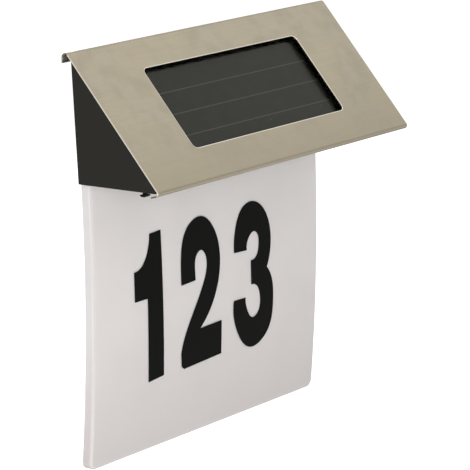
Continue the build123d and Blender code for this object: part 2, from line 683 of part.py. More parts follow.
def countersunk_screw(radius, head_radius, head_depth, length):
    """Screw along -Z with its head's face at z = 0."""
    head = Pos(0, 0, -head_depth / 2) * Cone(radius, head_radius, head_depth)
    shank = rod_z(0, 0, radius, -length + radius, -head_depth)
    tip = Pos(0, 0, -length + radius / 2) * Cone(radius * TIP_SHARE, radius, radius)
    return head + shank + tip - cross_recess(head_radius, head_depth * 0.6)


def cover_screws():
    """Four countersunk screws: the lower pair also holds the number panel."""
    solids = []
    for x in (-COVER_SCREW_X, COVER_SCREW_X):
        for z, length in ((COVER_SCREW_LOW, LOW_SCREW_LENGTH), (COVER_SCREW_HIGH, HIGH_SCREW_LENGTH)):
            screw = countersunk_screw(COVER_SCREW_RADIUS, COVER_SCREW_HEAD, HEAD_DEPTH, length - HEAD_SUNK)
            solids.append(Pos(x, -HEAD_SUNK, z) * (Rot(-90, 0, 0) * screw))
    return solids


def bow_point(offset, z):
    """(y, z) of a point behind the number panel's front face by an offset."""
    reach = math.sqrt((PANEL_BOW_RADIUS - offset) ** 2 - (z - PANEL_CREST_HEIGHT) ** 2)
    return (PANEL_BOW_RADIUS - PANEL_CREST_DEPTH - reach, z)


def bow_strip(front_offset, back_offset, low, high):
    """Strip that follows the number panel's bow, between two offsets from its front face."""
    faces = []
    for offset in (front_offset, back_offset):
        points = [bow_point(offset, z) for z in (high, (low + high) / 2, low)]
        faces.append(ThreePointArc(*points))
    front, back = faces
    outline = [front, Line(front @ 1, back @ 1), back, Line(back @ 0, front @ 0)]
    profile = make_face(outline)
    return extrude(Plane.YZ.offset(-ROOF_WIDTH / 2) * profile, amount=ROOF_WIDTH)


def number_panel():
    """Bowed opal panel with rounded edges and two screw tabs at the top."""
    strip = bow_strip(0, PANEL_THICKNESS, PANEL_BOTTOM - PAST, PANEL_TOP + PAST)
    height = PANEL_TOP - PANEL_BOTTOM
    frame = Pos(0, PANEL_BOTTOM + height / 2) * RectangleRounded(PANEL_WIDTH, height, PANEL_CORNER)
    panel = strip & extrude(Plane.XZ * frame, amount=2 * PANEL_CREST_DEPTH, both=True)
    faces = panel.faces().sort_by(Axis.Y)
    panel = fillet(faces[0].outer_wire().edges(), PANEL_EDGE)
    for side in (-1, 1):
        x = side * COVER_SCREW_X
        tab = block(x - TAB_WIDTH / 2, x + TAB_WIDTH / 2, -TAB_FRONT, -TAB_BACK, -PANEL_CORNER, TAB_HEIGHT)
        tab = fillet(tab.edges().filter_by(Axis.Y).group_by(Axis.Z)[-1], PANEL_CORNER)
        panel += tab
        panel -= rod_y(x, COVER_SCREW_LOW, COVER_SCREW_RADIUS + SCREW_PLAY, -FOOT_GAP, 0)
    return panel


def digit(edges):
    """Sticker cut to a digit's outline, lying on the bowed face."""
    outline = make_face(edges)
    tall = extrude(Plane.XZ * outline, amount=2 * PANEL_CREST_DEPTH)
    skin = bow_strip(-DIGIT_GAP - DIGIT_THICKNESS, -DIGIT_GAP, PANEL_BOTTOM, PANEL_TOP)
    return tall & skin


def digit_points(left, hundredths):
    """Points of an outline given in hundredths of the digits' height, right and down from a corner."""
    unit = DIGIT_HEIGHT / 100
    return [(left + right * unit, DIGIT_TOP - down * unit) for right, down in hundredths]


def digit_curve(left, hundredths):
    """A curved stretch of a digit's outline."""
    return Spline(*digit_points(left, hundredths))


def digit_run(left, hundredths):
    """A stretch of straight runs of a digit's outline."""
    return Polyline(*digit_points(left, hundredths))


def digit_1():
    """Upright stem with a hooked flag."""
    flag = digit_curve(DIGIT_1_LEFT, [(0.0, 23.9), (7.9, 21.5), (13.4, 14.2), (16.3, 1.8)])
    rest = digit_run(DIGIT_1_LEFT, [(16.3, 1.8), (27.6, 1.2), (31.3, 97.9), (15.6, 99.2), (13.7, 43.5),
                                    (0.6, 43.4), (0.0, 23.9)])
    return digit([flag, rest])


def digit_2():
    """Hooked top, slanting neck and deep foot."""
    crown = digit_curve(DIGIT_2_LEFT, [(0.5, 42.1), (0.0, 28.4), (7.1, 5.0), (21.6, 0.0), (36.1, 11.5),
                                       (41.8, 33.2), (36.4, 55.7), (20.7, 74.8)])
    foot = digit_run(DIGIT_2_LEFT, [(20.7, 74.8), (44.1, 74.2), (44.6, 97.0), (4.5, 98.8), (2.0, 96.7),
                                    (1.1, 88.1)])
    neck = digit_curve(DIGIT_2_LEFT, [(1.1, 88.1), (10.3, 67.1), (23.1, 46.7), (27.6, 33.8), (24.8, 24.5),
                                      (21.0, 22.4), (16.8, 24.5), (14.7, 33.2), (15.3, 41.4)])
    end = digit_run(DIGIT_2_LEFT, [(15.3, 41.4), (0.5, 42.1)])
    return digit([crown, foot, neck, end])


def digit_3():
    """Two hooked bowls that meet at the waist."""
    upper = digit_curve(DIGIT_3_LEFT, [(0.0, 31.6), (2.1, 13.6), (10.0, 2.4), (21.8, 0.3), (33.5, 7.6),
                                       (40.9, 27.5), (36.6, 47.7)])
    lower = digit_curve(DIGIT_3_LEFT, [(36.6, 47.7), (42.9, 58.0), (44.4, 71.3), (40.2, 90.6), (20.2, 100.0),
                                       (5.7, 88.2), (0.2, 64.2)])
    hook = digit_run(DIGIT_3_LEFT, [(0.2, 64.2), (13.0, 64.4)])
    low_in = digit_curve(DIGIT_3_LEFT, [(13.0, 64.4), (16.3, 75.5), (21.5, 79.6), (27.5, 77.0), (29.6, 67.7),
                                        (26.3, 59.2), (19.3, 56.6)])
    bar = digit_run(DIGIT_3_LEFT, [(19.3, 56.6), (18.6, 39.9)])
    high_in = digit_curve(DIGIT_3_LEFT, [(18.6, 39.9), (24.8, 38.1), (27.5, 29.3), (25.7, 22.7), (21.8, 20.7),
                                         (16.6, 23.3), (14.0, 32.2)])
    end = digit_run(DIGIT_3_LEFT, [(14.0, 32.2), (0.0, 31.6)])
    return digit([upper, lower, hook, low_in, bar, high_in, end])


def module_layer(width, t0, t1, n0, n1, shift=0.0):
    """One flat layer of the solar panel."""
    middle = WINDOW_SHIFT + shift
    return slope_block(middle - width / 2, middle + width / 2, t0, t1, n0, n1)


def solar_board():
    """Black carrier board of the solar panel."""
    return module_layer(MODULE_WIDTH, MODULE_START, MODULE_START + MODULE_LENGTH, BOARD_BOTTOM, BOARD_TOP)


def solar_clear():
    """Clear cast layer over the cells."""
    top = module_layer(MODULE_WIDTH, MODULE_START, MODULE_START + MODULE_LENGTH, BOARD_TOP, MODULE_TOP)
    t1 = MODULE_START + MODULE_LENGTH - CELL_HIGH_MARGIN
    t0 = MODULE_START + CELL_LOW_MARGIN
    return top - module_layer(CELL_WIDTH, t0, t1, BOARD_TOP - PAST, CELLS_TOP, CELL_SHIFT)


def solar_cells():
    """Dark cell strips, with gaps for the conductors."""
    solids = []
    t1 = MODULE_START + MODULE_LENGTH - CELL_HIGH_MARGIN
    for index in range(CELL_COUNT):
        high = t1 - index * CELL_PITCH
        low = high - CELL_PITCH
        start = low + (BUSBAR / 2 if index < CELL_COUNT - 1 else 0)
        end = high - (BUSBAR / 2 if index > 0 else 0)
        solids.append(module_layer(CELL_WIDTH, start, end, BOARD_TOP, CELLS_TOP, CELL_SHIFT))
    return solids


def solar_busbars():
    """Thin conductors between the strips."""
    solids = []
    t1 = MODULE_START + MODULE_LENGTH - CELL_HIGH_MARGIN
    for index in range(1, CELL_COUNT):
        middle = t1 - index * CELL_PITCH
        solids.append(module_layer(CELL_WIDTH, middle - BUSBAR / 2, middle + BUSBAR / 2,
                                   BOARD_TOP, CELLS_TOP, CELL_SHIFT))
    return solids


def led_board():
    """Narrow board above the panel's top edge."""
    half = LED_BOARD_LENGTH / 2
    front = -LED_BOARD_BACK - LED_BOARD_WIDTH
    return block(-half, half, front, -LED_BOARD_BACK, LED_BOARD_HEIGHT, LED_BOARD_HEIGHT + LED_BOARD_THICKNESS)


def leds():
    """Light sources that point down into the panel's edge."""
    solids = []
    for index in range(LED_COUNT):
        x = (index - (LED_COUNT - 1) / 2) * LED_PITCH
        solids.append(block(x - LED_LENGTH / 2, x + LED_LENGTH / 2,
                            -LED_DEPTH - LED_WIDTH / 2, -LED_DEPTH + LED_WIDTH / 2,
                            LED_BOARD_HEIGHT - LED_HEIGHT, LED_BOARD_HEIGHT))
    return solids


def light_lens():
    """Clear strip that closes the light slot."""
    half = LIGHT_SLOT_LENGTH / 2 - LENS_GAP
    return block(-half, half, -LIGHT_SLOT_FRONT, -COVER_THICKNESS - LENS_GAP,
                 COVER_BOTTOM, COVER_BOTTOM + LENS_THICKNESS)


def control_board():
    """Upright circuit board on its two posts."""
    half = CONTROL_WIDTH / 2
    board = block(CONTROL_X - half, CONTROL_X + half, -CONTROL_FRONT, -CONTROL_BACK,
                  CONTROL_LOW, CONTROL_LOW + CONTROL_HEIGHT)
    for side in (-1, 1):
        x = CONTROL_X + side * CONTROL_SCREW_X
        board -= rod_y(x, CONTROL_SCREW_HEIGHT, CONTROL_SCREW_RADIUS + SCREW_PLAY, -CONTROL_FRONT - PAST, 0)
    return board


def control_chips():
    """Charge controller and driver chips."""
    face = -CONTROL_BACK
    chips = []
    for x, size, height in ((CONTROL_X, CHIP_SIZE, CHIP_HEIGHT),
                            (CONTROL_X + SMALL_CHIP_X, SMALL_CHIP, SMALL_CHIP_HEIGHT)):
        chips.append(block(x - size / 2, x + size / 2, face, face + height,
                           CHIP_MIDDLE - size / 2, CHIP_MIDDLE + size / 2))
    return chips


def control_coil():
    """Wound choke of the light driver."""
    x = CONTROL_X + COIL_X
    face = -CONTROL_BACK
    core = rod_y(x, PARTS_MIDDLE, COIL_RADIUS, face, face + COIL_HEIGHT)
    low = face + COIL_FLANGE
    high = face + COIL_HEIGHT - COIL_FLANGE
    groove = rod_y(x, PARTS_MIDDLE, 2 * COIL_RADIUS, low, high)
    return core - (groove - rod_y(x, PARTS_MIDDLE, COIL_CORE_RADIUS, low, high))


def control_capacitor():
    """Small electrolytic capacitor, standing off the board."""
    face = -CONTROL_BACK
    can = rod_y(CONTROL_X + CAPACITOR_X, PARTS_MIDDLE, CAPACITOR_RADIUS, face, face + CAPACITOR_HEIGHT)
    return fillet(can.edges().sort_by(Axis.Y)[-1], CAPACITOR_RADIUS / 6)


def board_screws():
    """Two pan-head screws of the control board."""
    solids = []
    for side in (-1, 1):
        x = CONTROL_X + side * CONTROL_SCREW_X
        head = rod_z(0, 0, CONTROL_SCREW_HEAD, 0, CONTROL_HEAD_DEPTH)
        head = fillet(head.edges().sort_by(Axis.Z)[-1], CONTROL_HEAD_EDGE)
        shank = rod_z(0, 0, CONTROL_SCREW_RADIUS, -CONTROL_SCREW_LENGTH, 0)
        screw = head + shank - Pos(0, 0, CONTROL_HEAD_DEPTH) * cross_recess(CONTROL_SCREW_HEAD, CONTROL_RECESS)
        solids.append(Pos(x, -CONTROL_BACK, CONTROL_SCREW_HEIGHT) * (Rot(-90, 0, 0) * screw))
    return solids


def battery():
    """Rechargeable cell with its button end to the left."""
    start = BAY_LOW_X + CONTACT
    nub = rod_x(-BATTERY_DEPTH, BATTERY_HEIGHT, BATTERY_NUB_RADIUS, start, start + BATTERY_NUB)
    can = rod_x(-BATTERY_DEPTH, BATTERY_HEIGHT, BATTERY_RADIUS,
                start + BATTERY_NUB, start + BATTERY_NUB + BATTERY_LENGTH)
    can = fillet(can.edges().filter_by(GeomType.CIRCLE), BATTERY_EDGE)
    return can + nub


def battery_contacts():
    """Two sprung-steel plates on the bay's end walls."""
    solids = []
    for x in (BAY_LOW_X, BAY_HIGH_X - CONTACT):
        solids.append(block(x, x + CONTACT, -BATTERY_DEPTH - CONTACT_REACH, -BAY_BACK,
                            BATTERY_HEIGHT - CONTACT_REACH, BATTERY_HEIGHT + CONTACT_REACH))
    return solids


def battery_spring():
    """Contact spring, drawn as a plain sleeve."""
    start = BAY_LOW_X + CONTACT + BATTERY_NUB + BATTERY_LENGTH
    end = BAY_HIGH_X - CONTACT
    sleeve = rod_x(-BATTERY_DEPTH, BATTERY_HEIGHT, SPRING_RADIUS, start, end)
    return sleeve - rod_x(-BATTERY_DEPTH, BATTERY_HEIGHT, SPRING_RADIUS - SPRING_WIRE, start - PAST, end + PAST)


def battery_door():
    """Hatch flush with the underside, held by two screws."""
    plate = centred(DOOR_LENGTH, DOOR_WIDTH, -PAST, DOOR_TOP) & housing_outline()
    for side in (-1, 1):
        x = BATTERY_X + side * DOOR_SCREW_X
        z = underside_at(-BATTERY_DEPTH) + DOOR_HEAD_SUNK
        plate -= Pos(x, -BATTERY_DEPTH, z + DOOR_HEAD_DEPTH / 2) * Cone(
            DOOR_SCREW_HEAD + SCREW_PLAY, DOOR_SCREW_RADIUS + SCREW_PLAY, DOOR_HEAD_DEPTH)
        plate -= rod_z(x, -BATTERY_DEPTH, DOOR_SCREW_HEAD + SCREW_PLAY, -PAST, z)
        plate -= rod_z(x, -BATTERY_DEPTH, DOOR_SCREW_RADIUS + SCREW_PLAY, -PAST, DOOR_TOP + PAST)
    return plate


def door_screws():
    """Two countersunk screws that stay in the hatch."""
    solids = []
    for side in (-1, 1):
        x = BATTERY_X + side * DOOR_SCREW_X
        z = underside_at(-BATTERY_DEPTH) + DOOR_HEAD_SUNK
        screw = countersunk_screw(DOOR_SCREW_RADIUS, DOOR_SCREW_HEAD, DOOR_HEAD_DEPTH, DOOR_SCREW_LENGTH)
        solids.append(Pos(x, -BATTERY_DEPTH, z) * (Rot(180, 0, 0) * screw))
    return solids


def door_pad():
    """Foam pad on the hatch, under the battery."""
    return centred(DOOR_PAD_LENGTH, DOOR_PAD_WIDTH, DOOR_TOP, DOOR_TOP + DOOR_PAD)


def switch_end():
    """Right-hand end of the switch, which is centred on its nub's travel."""
    return NUB_X + NUB_TRAVEL / 2 + SWITCH_LENGTH / 2


def switch_body():
    """Slide switch on the floor, with room for the nub's stem."""
    low = switch_end() - SWITCH_LENGTH
    body = block(low, low + SWITCH_LENGTH, -NUB_DEPTH - SWITCH_WIDTH / 2, -NUB_DEPTH + SWITCH_WIDTH / 2,
                 FLOOR_TOP, FLOOR_TOP + SWITCH_HEIGHT)
    reach = NUB_STEM / 2 + NUB_GAP
    room = block(NUB_X - reach, NUB_X + reach + NUB_TRAVEL, -NUB_DEPTH - reach, -NUB_DEPTH + reach,
                 FLOOR_TOP - PAST, FLOOR_TOP + SWITCH_ROOM)
    return body - room


def switch_button():
    """Nub of the slide switch: a ribbed cap under the floor and a stem into the switch."""
    half = NUB_LENGTH / 2
    cap = block(NUB_X - half, NUB_X + half, -NUB_DEPTH - NUB_WIDTH / 2, -NUB_DEPTH + NUB_WIDTH / 2,
                NUB_BOTTOM, NUB_TOP)
    cap = chamfer(cap.edges().group_by(Axis.Z)[0], NUB_CHAMFER)
    for step in (-1, 0, 1):
        x = NUB_X + step * NUB_GROOVE_PITCH
        cap -= block(x - NUB_GROOVE / 2, x + NUB_GROOVE / 2, -FAR, 0,
                     NUB_BOTTOM - PAST, NUB_BOTTOM + NUB_GROOVE_DEPTH)
    stem = block(NUB_X - NUB_STEM / 2, NUB_X + NUB_STEM / 2,
                 -NUB_DEPTH - NUB_STEM / 2, -NUB_DEPTH + NUB_STEM / 2,
                 NUB_TOP - NUB_STEM / 2, FLOOR_TOP + NUB_STEM_RISE)
    return cap + stem


def wire(points):
    """Insulated wire along straight runs joined by tangent arcs."""
    corners = [Vector(*point) for point in points]
    radii = []
    for before, corner, after in zip(corners, corners[1:], corners[2:]):
        first = corner - before
        second = after - corner
        turn = math.radians(first.get_angle(second))
        radii.append(WIRE_BEND * min(first.length, second.length) / math.tan(turn / 2))
    path = FilletPolyline(*points, radius=radii)
    start = Plane(origin=path @ 0, z_dir=path % 0)
    return sweep(start * Circle(WIRE_RADIUS), path=path)


def solar_wire_points(x):
    """Panel's back to the control board's front."""
    y0, z0 = slope_point(WIRE_SLOT_START, BOARD_BOTTOM)
    y1, z1 = slope_point(WIRE_SLOT_START, BOARD_BOTTOM - SOLAR_WIRE_DROP)
    return [(x, y0, z0), (x, y1, z1), (x, -CONTROL_FRONT, z1)]


def led_wire_points(x):
    """Control board's back to the light board."""
    z = LED_WIRE_HEIGHT
    y = -LED_BOARD_BACK - LED_BOARD_WIDTH / 2
    return [(x, -CONTROL_BACK, z), (x, y, z), (x, y, LED_BOARD_HEIGHT + LED_BOARD_THICKNESS)]


def switch_wire_points(z):
    """Switch to the control board's front."""
    x0 = switch_end()
    x1 = CONTROL_X - CONTROL_WIDTH / 2 + SWITCH_WIRE_INSET
    return [(x0, -NUB_DEPTH, z), (x0 + SWITCH_WIRE_RUN, -NUB_DEPTH, z),
            (x1, -NUB_DEPTH + SWITCH_WIRE_STEP, z), (x1, -CONTROL_FRONT, z)]


def plus_wire_points():
    """Left contact to the control board's front, through the notch in the bay's wall."""
    x = CONTROL_X + CONTROL_WIDTH / 2 - BATTERY_WIRE_INSET
    y = -PLUS_WIRE_DEPTH
    z = PLUS_WIRE_HEIGHT
    return [(BAY_LOW_X, y, z), (x, y, z), (x, -CONTROL_FRONT, z)]


def minus_wire_points():
    """Right contact behind the battery to the control board's back."""
    x0 = BAY_HIGH_X - CONTACT / 2
    x1 = CONTROL_X + CONTROL_WIDTH / 2 - BATTERY_WIRE_INSET
    y = MINUS_WIRE_SET_BACK - min(BAY_BACK, CONTROL_BACK)
    z = MINUS_WIRE_HEIGHT
    return [(x0, -BAY_BACK, z), (x0, y, z), (x1, y, z), (x1, -CONTROL_BACK, z)]


def wires_red():
    """Positive leads."""
    return [
        wire(solar_wire_points(SOLAR_WIRE_X - SOLAR_WIRE_SPREAD)),
        wire(led_wire_points(LED_WIRE_X)),
        wire(switch_wire_points(FLOOR_TOP + SWITCH_WIRE_LOW)),
        wire(plus_wire_points()),
    ]


def wires_black():
    """Negative leads."""
    return [
        wire(solar_wire_points(SOLAR_WIRE_X + SOLAR_WIRE_SPREAD)),
        wire(led_wire_points(LED_WIRE_X + LED_WIRE_PITCH)),
        wire(switch_wire_points(FLOOR_TOP + SWITCH_WIRE_HIGH)),
        wire(minus_wire_points()),
    ]


NODES = {
    "roof_cover": roof_cover,
    "cover_tape": cover_tape,
    "housing": housing,
    "back_cover": back_cover,
    "back_gasket": back_gasket,
    "cover_screws": cover_screws,
    "number_panel": number_panel,
    "digit_1": digit_1,
    "digit_2": digit_2,
    "digit_3": digit_3,
    "solar_board": solar_board,
    "solar_cells": solar_cells,
    "solar_busbars": solar_busbars,
    "solar_clear": solar_clear,
    "led_board": led_board,
    "leds": leds,
    "light_lens": light_lens,
    "control_board": control_board,
    "control_chips": control_chips,
    "control_coil": control_coil,
    "control_capacitor": control_capacitor,
    "board_screws": board_screws,
    "battery": battery,
    "battery_contacts": battery_contacts,
    "battery_spring": battery_spring,
    "battery_door": battery_door,
    "door_screws": door_screws,
    "door_pad": door_pad,
    "switch_body": switch_body,
    "switch_button": switch_button,
    "wires_red": wires_red,
    "wires_black": wires_black,
}


def main():
    os.makedirs("parts", exist_ok=True)
    to_origin = Pos(0, 0, -ORIGIN_HEIGHT)
    for name, make in NODES.items():
        made = make()
        pieces = made if isinstance(made, list) else [made]
        solids = []
        for piece in pieces:
            solids.extend(piece.solids())
        moved = [to_origin * solid for solid in solids]
        shape = moved[0] if len(moved) == 1 else Compound(children=moved)
        export_step(shape, os.path.join("parts", name + ".step"))
        print(name, len(moved), round(sum(solid.volume for solid in moved), 2))


main()
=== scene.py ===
import math
import bmesh
import bpy
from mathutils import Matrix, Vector


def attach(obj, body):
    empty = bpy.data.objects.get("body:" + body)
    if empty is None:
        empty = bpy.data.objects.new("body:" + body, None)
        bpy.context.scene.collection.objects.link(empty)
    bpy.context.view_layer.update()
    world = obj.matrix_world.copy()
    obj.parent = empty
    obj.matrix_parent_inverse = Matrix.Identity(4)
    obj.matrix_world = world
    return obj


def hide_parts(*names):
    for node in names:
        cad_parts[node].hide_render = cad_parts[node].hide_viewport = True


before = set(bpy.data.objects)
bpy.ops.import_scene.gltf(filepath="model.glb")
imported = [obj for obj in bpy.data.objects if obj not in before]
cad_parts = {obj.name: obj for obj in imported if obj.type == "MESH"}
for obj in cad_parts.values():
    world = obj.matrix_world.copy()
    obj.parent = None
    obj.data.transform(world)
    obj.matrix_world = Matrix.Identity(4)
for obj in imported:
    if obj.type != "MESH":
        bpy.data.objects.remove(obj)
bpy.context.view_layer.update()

# ---------------------------------------------------------------------------------------------
# Camera. It stands to the sign's left and a little above it, and looks with a long lens, so
# that upright edges stay nearly upright and the roof's slope shows. Its place is in metres.
# ---------------------------------------------------------------------------------------------
EYE_PLACE = (-0.95475, -0.72251, 0.21476)
EYE_TILT = math.radians(90 - 13.049)
EYE_TURN = math.radians(-53.652)
eye = bpy.data.cameras.new("eye")
eye.sensor_width = 36.0
eye.lens = 218.05
stand = bpy.data.objects.new("eye", eye)
stand.location = EYE_PLACE
stand.rotation_euler = (EYE_TILT, 0.0, EYE_TURN)
bpy.context.collection.objects.link(stand)
bpy.context.scene.camera = stand

# ---------------------------------------------------------------------------------------------
# Roof. One sheet of satin stainless steel, cut with a window for the solar panel, then folded:
# a short flange at the eaves, the sloping face, and a rear bend with a lip against the wall.
# Sizes here and below are in mm, from the middle of the sign's wall face.
# ---------------------------------------------------------------------------------------------
MM = 0.001
ORIGIN_HEIGHT = 24.0
ROOF_HALF = 90.0
SHEET = 0.6
SLOPE = math.radians(48.2)
EAVE_DEPTH = 48.95
EAVE_HEIGHT = 1.2
FACE_START = 1.1
FACE_END = 68.465
BEND_RADIUS = 1.4
CURL_RADIUS = 1.9
FLANGE = 2.8
FLANGE_DROP = math.radians(19.0)
LIP = 2.3
WINDOW = (-52.9, 54.5, 15.3, 55.35)
WINDOW_CORNER = 2.6
RIM = 0.35
RIM_SINK = 0.06
CUT_EDGE = 0.12


def up_roof(along, out=0.0):
    """(y, z) of a point up the roof's face and out of it."""
    y = -EAVE_DEPTH + along * math.cos(SLOPE) - out * math.sin(SLOPE)
    z = EAVE_HEIGHT - ORIGIN_HEIGHT + along * math.sin(SLOPE) + out * math.cos(SLOPE)
    return y, z


def bend(centre, radius, start, end, steps):
    """Points round a centre, from one angle to another."""
    points = []
    for step in range(steps + 1):
        angle = start + (end - start) * step / steps
        points.append((centre[0] + radius * math.cos(angle), centre[1] + radius * math.sin(angle)))
    return points


def round_corners(sides, radius, steps):
    """Four arcs round the corners of a rectangle, given its left, right, low and high sides."""
    left, right, low, high = sides
    centres = ((right - radius, high - radius), (left + radius, high - radius),
               (left + radius, low + radius), (right - radius, low + radius))
    arcs = []
    for quarter, centre in enumerate(centres):
        start = quarter * math.pi / 2
        arcs.append(bend(centre, radius, start, start + math.pi / 2, steps))
    return arcs


def spot(shape, x, y, z):
    """A vertex at a place in mm."""
    return shape.verts.new((x * MM, y * MM, z * MM))


def shown(name, shape, body="lamp"):
    """A piece of the sign from a filled bmesh, riding on its body."""
    mesh = bpy.data.meshes.new(name)
    shape.normal_update()
    shape.to_mesh(mesh)
    shape.free()
    piece = bpy.data.objects.new(name, mesh)
    bpy.context.collection.objects.link(piece)
    mesh.shade_smooth()
    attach(piece, body)
    return piece


def rounded_edges(piece, width):
    """Small radius on every edge of more than 40 degrees."""
    edge = piece.modifiers.new("edge", "BEVEL")
    edge.width = width * MM
    edge.segments = 2
    edge.limit_method = "ANGLE"
    edge.angle_limit = math.radians(40.0)
    even = piece.modifiers.new("even", "WEIGHTED_NORMAL")
    even.keep_sharp = False
    even.weight = 80


def paint(red, green, blue):
    """Linear colour from screen values of 0 to 255."""
    shares = [value / 255 for value in (red, green, blue)]
    return [s / 12.92 if s <= 0.04045 else ((s + 0.055) / 1.055) ** 2.4 for s in shares] + [1.0]


def surface(name, colour, roughness, **steady):
    """A new material with its steady values on the shader's own sockets."""
    made = bpy.data.materials.new(name)
    made.use_nodes = True
    skin = made.node_tree.nodes["Principled BSDF"]
    skin.inputs["Base Color"].default_value = colour
    skin.inputs["Roughness"].default_value = roughness
    for words, value in steady.items():
        skin.inputs[words.replace("_", " ").title().replace("Ior", "IOR")].default_value = value
    made.diffuse_color = colour
    return made


def add_node(made, kind, **links):
    """A node of that kind with its inputs linked to the sockets given, by input name."""
    new = made.node_tree.nodes.new("ShaderNode" + kind)
    for words, socket in links.items():
        made.node_tree.links.new(socket, new.inputs[words])
    return new


def cloud(made, size, stretch=(1.0, 1.0, 1.0), detail=3.0):
    """Random pattern in the sign's own space: size in mm, stretched along an axis by a factor."""
    place = add_node(made, "TexCoord")
    scaled = add_node(made, "Mapping", Vector=place.outputs["Object"])
    scaled.inputs["Scale"].default_value = [1 / (size * MM * factor) for factor in stretch]
    noise = add_node(made, "TexNoise", Vector=scaled.outputs["Vector"])
    noise.inputs["Scale"].default_value = 1.0
    noise.inputs["Detail"].default_value = detail
    noise.inputs["Roughness"].default_value = 0.55
    return noise.outputs["Fac"]


def worked_out(made, operation, first, fixed=None, second=None):
    """A number worked out from a socket, and from a fixed number or a second socket if given."""
    result = add_node(made, "Math", Value=first)
    result.operation = operation
    if fixed is not None:
        result.inputs[1].default_value = fixed
    if second is not None:
        made.node_tree.links.new(second, result.inputs[1])
    return result.outputs["Value"]


def distance(made, axis="Z"):
    """Distance of the surface from the sign's middle in mm, along one axis; Z is its height."""
    place = add_node(made, "TexCoord")
    parts = add_node(made, "SeparateXYZ", Vector=place.outputs["Object"])
    return worked_out(made, "MULTIPLY", parts.outputs[axis], fixed=1 / MM)


def between(made, value, low, high, out_low=0.0, out_high=1.0):
    """A value's range moved to another range, and held there."""
    moved = add_node(made, "MapRange", Value=value)
    ends = {"From Min": low, "From Max": high, "To Min": out_low, "To Max": out_high}
    for words, number in ends.items():
        moved.inputs[words].default_value = number
    return moved.outputs["Result"]


def lay_colour(made, colour, pattern, start=0.4, full=0.7, share=1.0):
    """Another colour over the base: none where the pattern is at start, its share at full."""
    mask = between(made, pattern, start, full, 0.0, share)
    base = made.node_tree.nodes["Principled BSDF"].inputs["Base Color"]
    mix = add_node(made, "Mix")
    mix.data_type = "RGBA"
    amount = mix.inputs[0]
    under = mix.inputs[6]
    over = mix.inputs[7]
    mixed = mix.outputs[2]
    made.node_tree.links.new(mask, amount)
    if base.is_linked:
        made.node_tree.links.new(base.links[0].from_socket, under)
    else:
        under.default_value = base.default_value
    over.default_value = colour
    made.node_tree.links.new(mixed, base)


def vary_gloss(made, pattern, low, high):
    """Roughness from low to high, as a random pattern goes from 0.3 to 0.7."""
    roughness = made.node_tree.nodes["Principled BSDF"].inputs["Roughness"]
    made.node_tree.links.new(between(made, pattern, 0.3, 0.7, low, high), roughness)


def relief(made, pattern, height):
    """Fine height in mm over what relief there is."""
    normal = made.node_tree.nodes["Principled BSDF"].inputs["Normal"]
    bump = add_node(made, "Bump", Height=pattern)
    bump.inputs["Strength"].default_value = 1.0
    bump.inputs["Distance"].default_value = height * MM
    if normal.is_linked:
        made.node_tree.links.new(normal.links[0].from_socket, bump.inputs["Normal"])
    made.node_tree.links.new(bump.outputs["Normal"], normal)


def wear_and_highlight_edges(made, colour, reach):
    """Another colour within a reach in mm of sharp edges, where a rounded normal would turn: edge wear and a
    painted edge highlight.
    """
    soft = add_node(made, "Bevel")
    soft.samples = 4
    soft.inputs["Radius"].default_value = reach * MM
    flat = add_node(made, "NewGeometry")
    match = add_node(made, "VectorMath")
    match.operation = "DOT_PRODUCT"
    made.node_tree.links.new(soft.outputs["Normal"], match.inputs[0])
    made.node_tree.links.new(flat.outputs["Normal"], match.inputs[1])
    lay_colour(made, colour, match.outputs["Value"], start=0.999, full=0.93)


eave_fold = up_roof(FACE_START, -BEND_RADIUS)
rear_fold = up_roof(FACE_END, -CURL_RADIUS)
face_angle = math.pi / 2 + SLOPE
flange_angle = 1.5 * math.pi - FLANGE_DROP
folded = bend(eave_fold, BEND_RADIUS, flange_angle, face_angle, steps=9)
curled = bend(rear_fold, CURL_RADIUS, face_angle, 0.0, steps=14)
root = folded[0]
flange_end = (root[0] + FLANGE * math.cos(FLANGE_DROP), root[1] - FLANGE * math.sin(FLANGE_DROP))
lip_end = (curled[-1][0], curled[-1][1] - LIP)

sheet = bmesh.new()


def sheet_row(y, z):
    """Left and right vertex of one line across the sheet."""
    return [spot(sheet, side * ROOF_HALF, y, z) for side in (-1, 1)]


def window_ring(spread, out):
    """Four arcs round the window, spread past it and out of the face, from its low left corner."""
    left, right, low, high = WINDOW
    sides = (left - spread, right + spread, low - spread, high + spread)
    arcs = []
    for arc in round_corners(sides, WINDOW_CORNER + spread, steps=8):
        arcs.append([spot(sheet, across, *up_roof(up, out)) for across, up in arc])
    return arcs[2:] + arcs[:2]


low_rows = [sheet_row(*point) for point in [flange_end] + folded]
high_rows = [sheet_row(*point) for point in curled + [lip_end]]
for rows in (low_rows, high_rows):
    for near, far in zip(rows, rows[1:]):
        sheet.faces.new((near[0], near[1], far[1], far[0]))

# The face round the window, then the window's rim, which rolls in a little to the cut edge.
rims = window_ring(RIM, 0.0)
mouths = window_ring(0.0, -RIM_SINK)
outer = [low_rows[-1][0], low_rows[-1][1], high_rows[0][1], high_rows[0][0]]
for index in range(4):
    after = (index + 1) % 4
    sheet.faces.new((outer[index], outer[after], rims[after][0], rims[index][-1]))
    sheet.faces.new([outer[index]] + rims[index][::-1])
rim = sum(rims, [])
mouth = sum(mouths, [])
INNER_FINISH = 1
EDGE_FINISH = 2
for index in range(len(rim)):
    strip = sheet.faces.new((rim[index - 1], rim[index], mouth[index], mouth[index - 1]))
    strip.material_index = EDGE_FINISH
roof = shown("steel_roof", sheet)
thick = roof.modifiers.new("thick", "SOLIDIFY")
thick.thickness = SHEET * MM
thick.offset = -1.0
thick.use_even_offset = True
thick.material_offset = INNER_FINISH
thick.material_offset_rim = EDGE_FINISH
rounded_edges(roof, CUT_EDGE)
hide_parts("roof_cover")
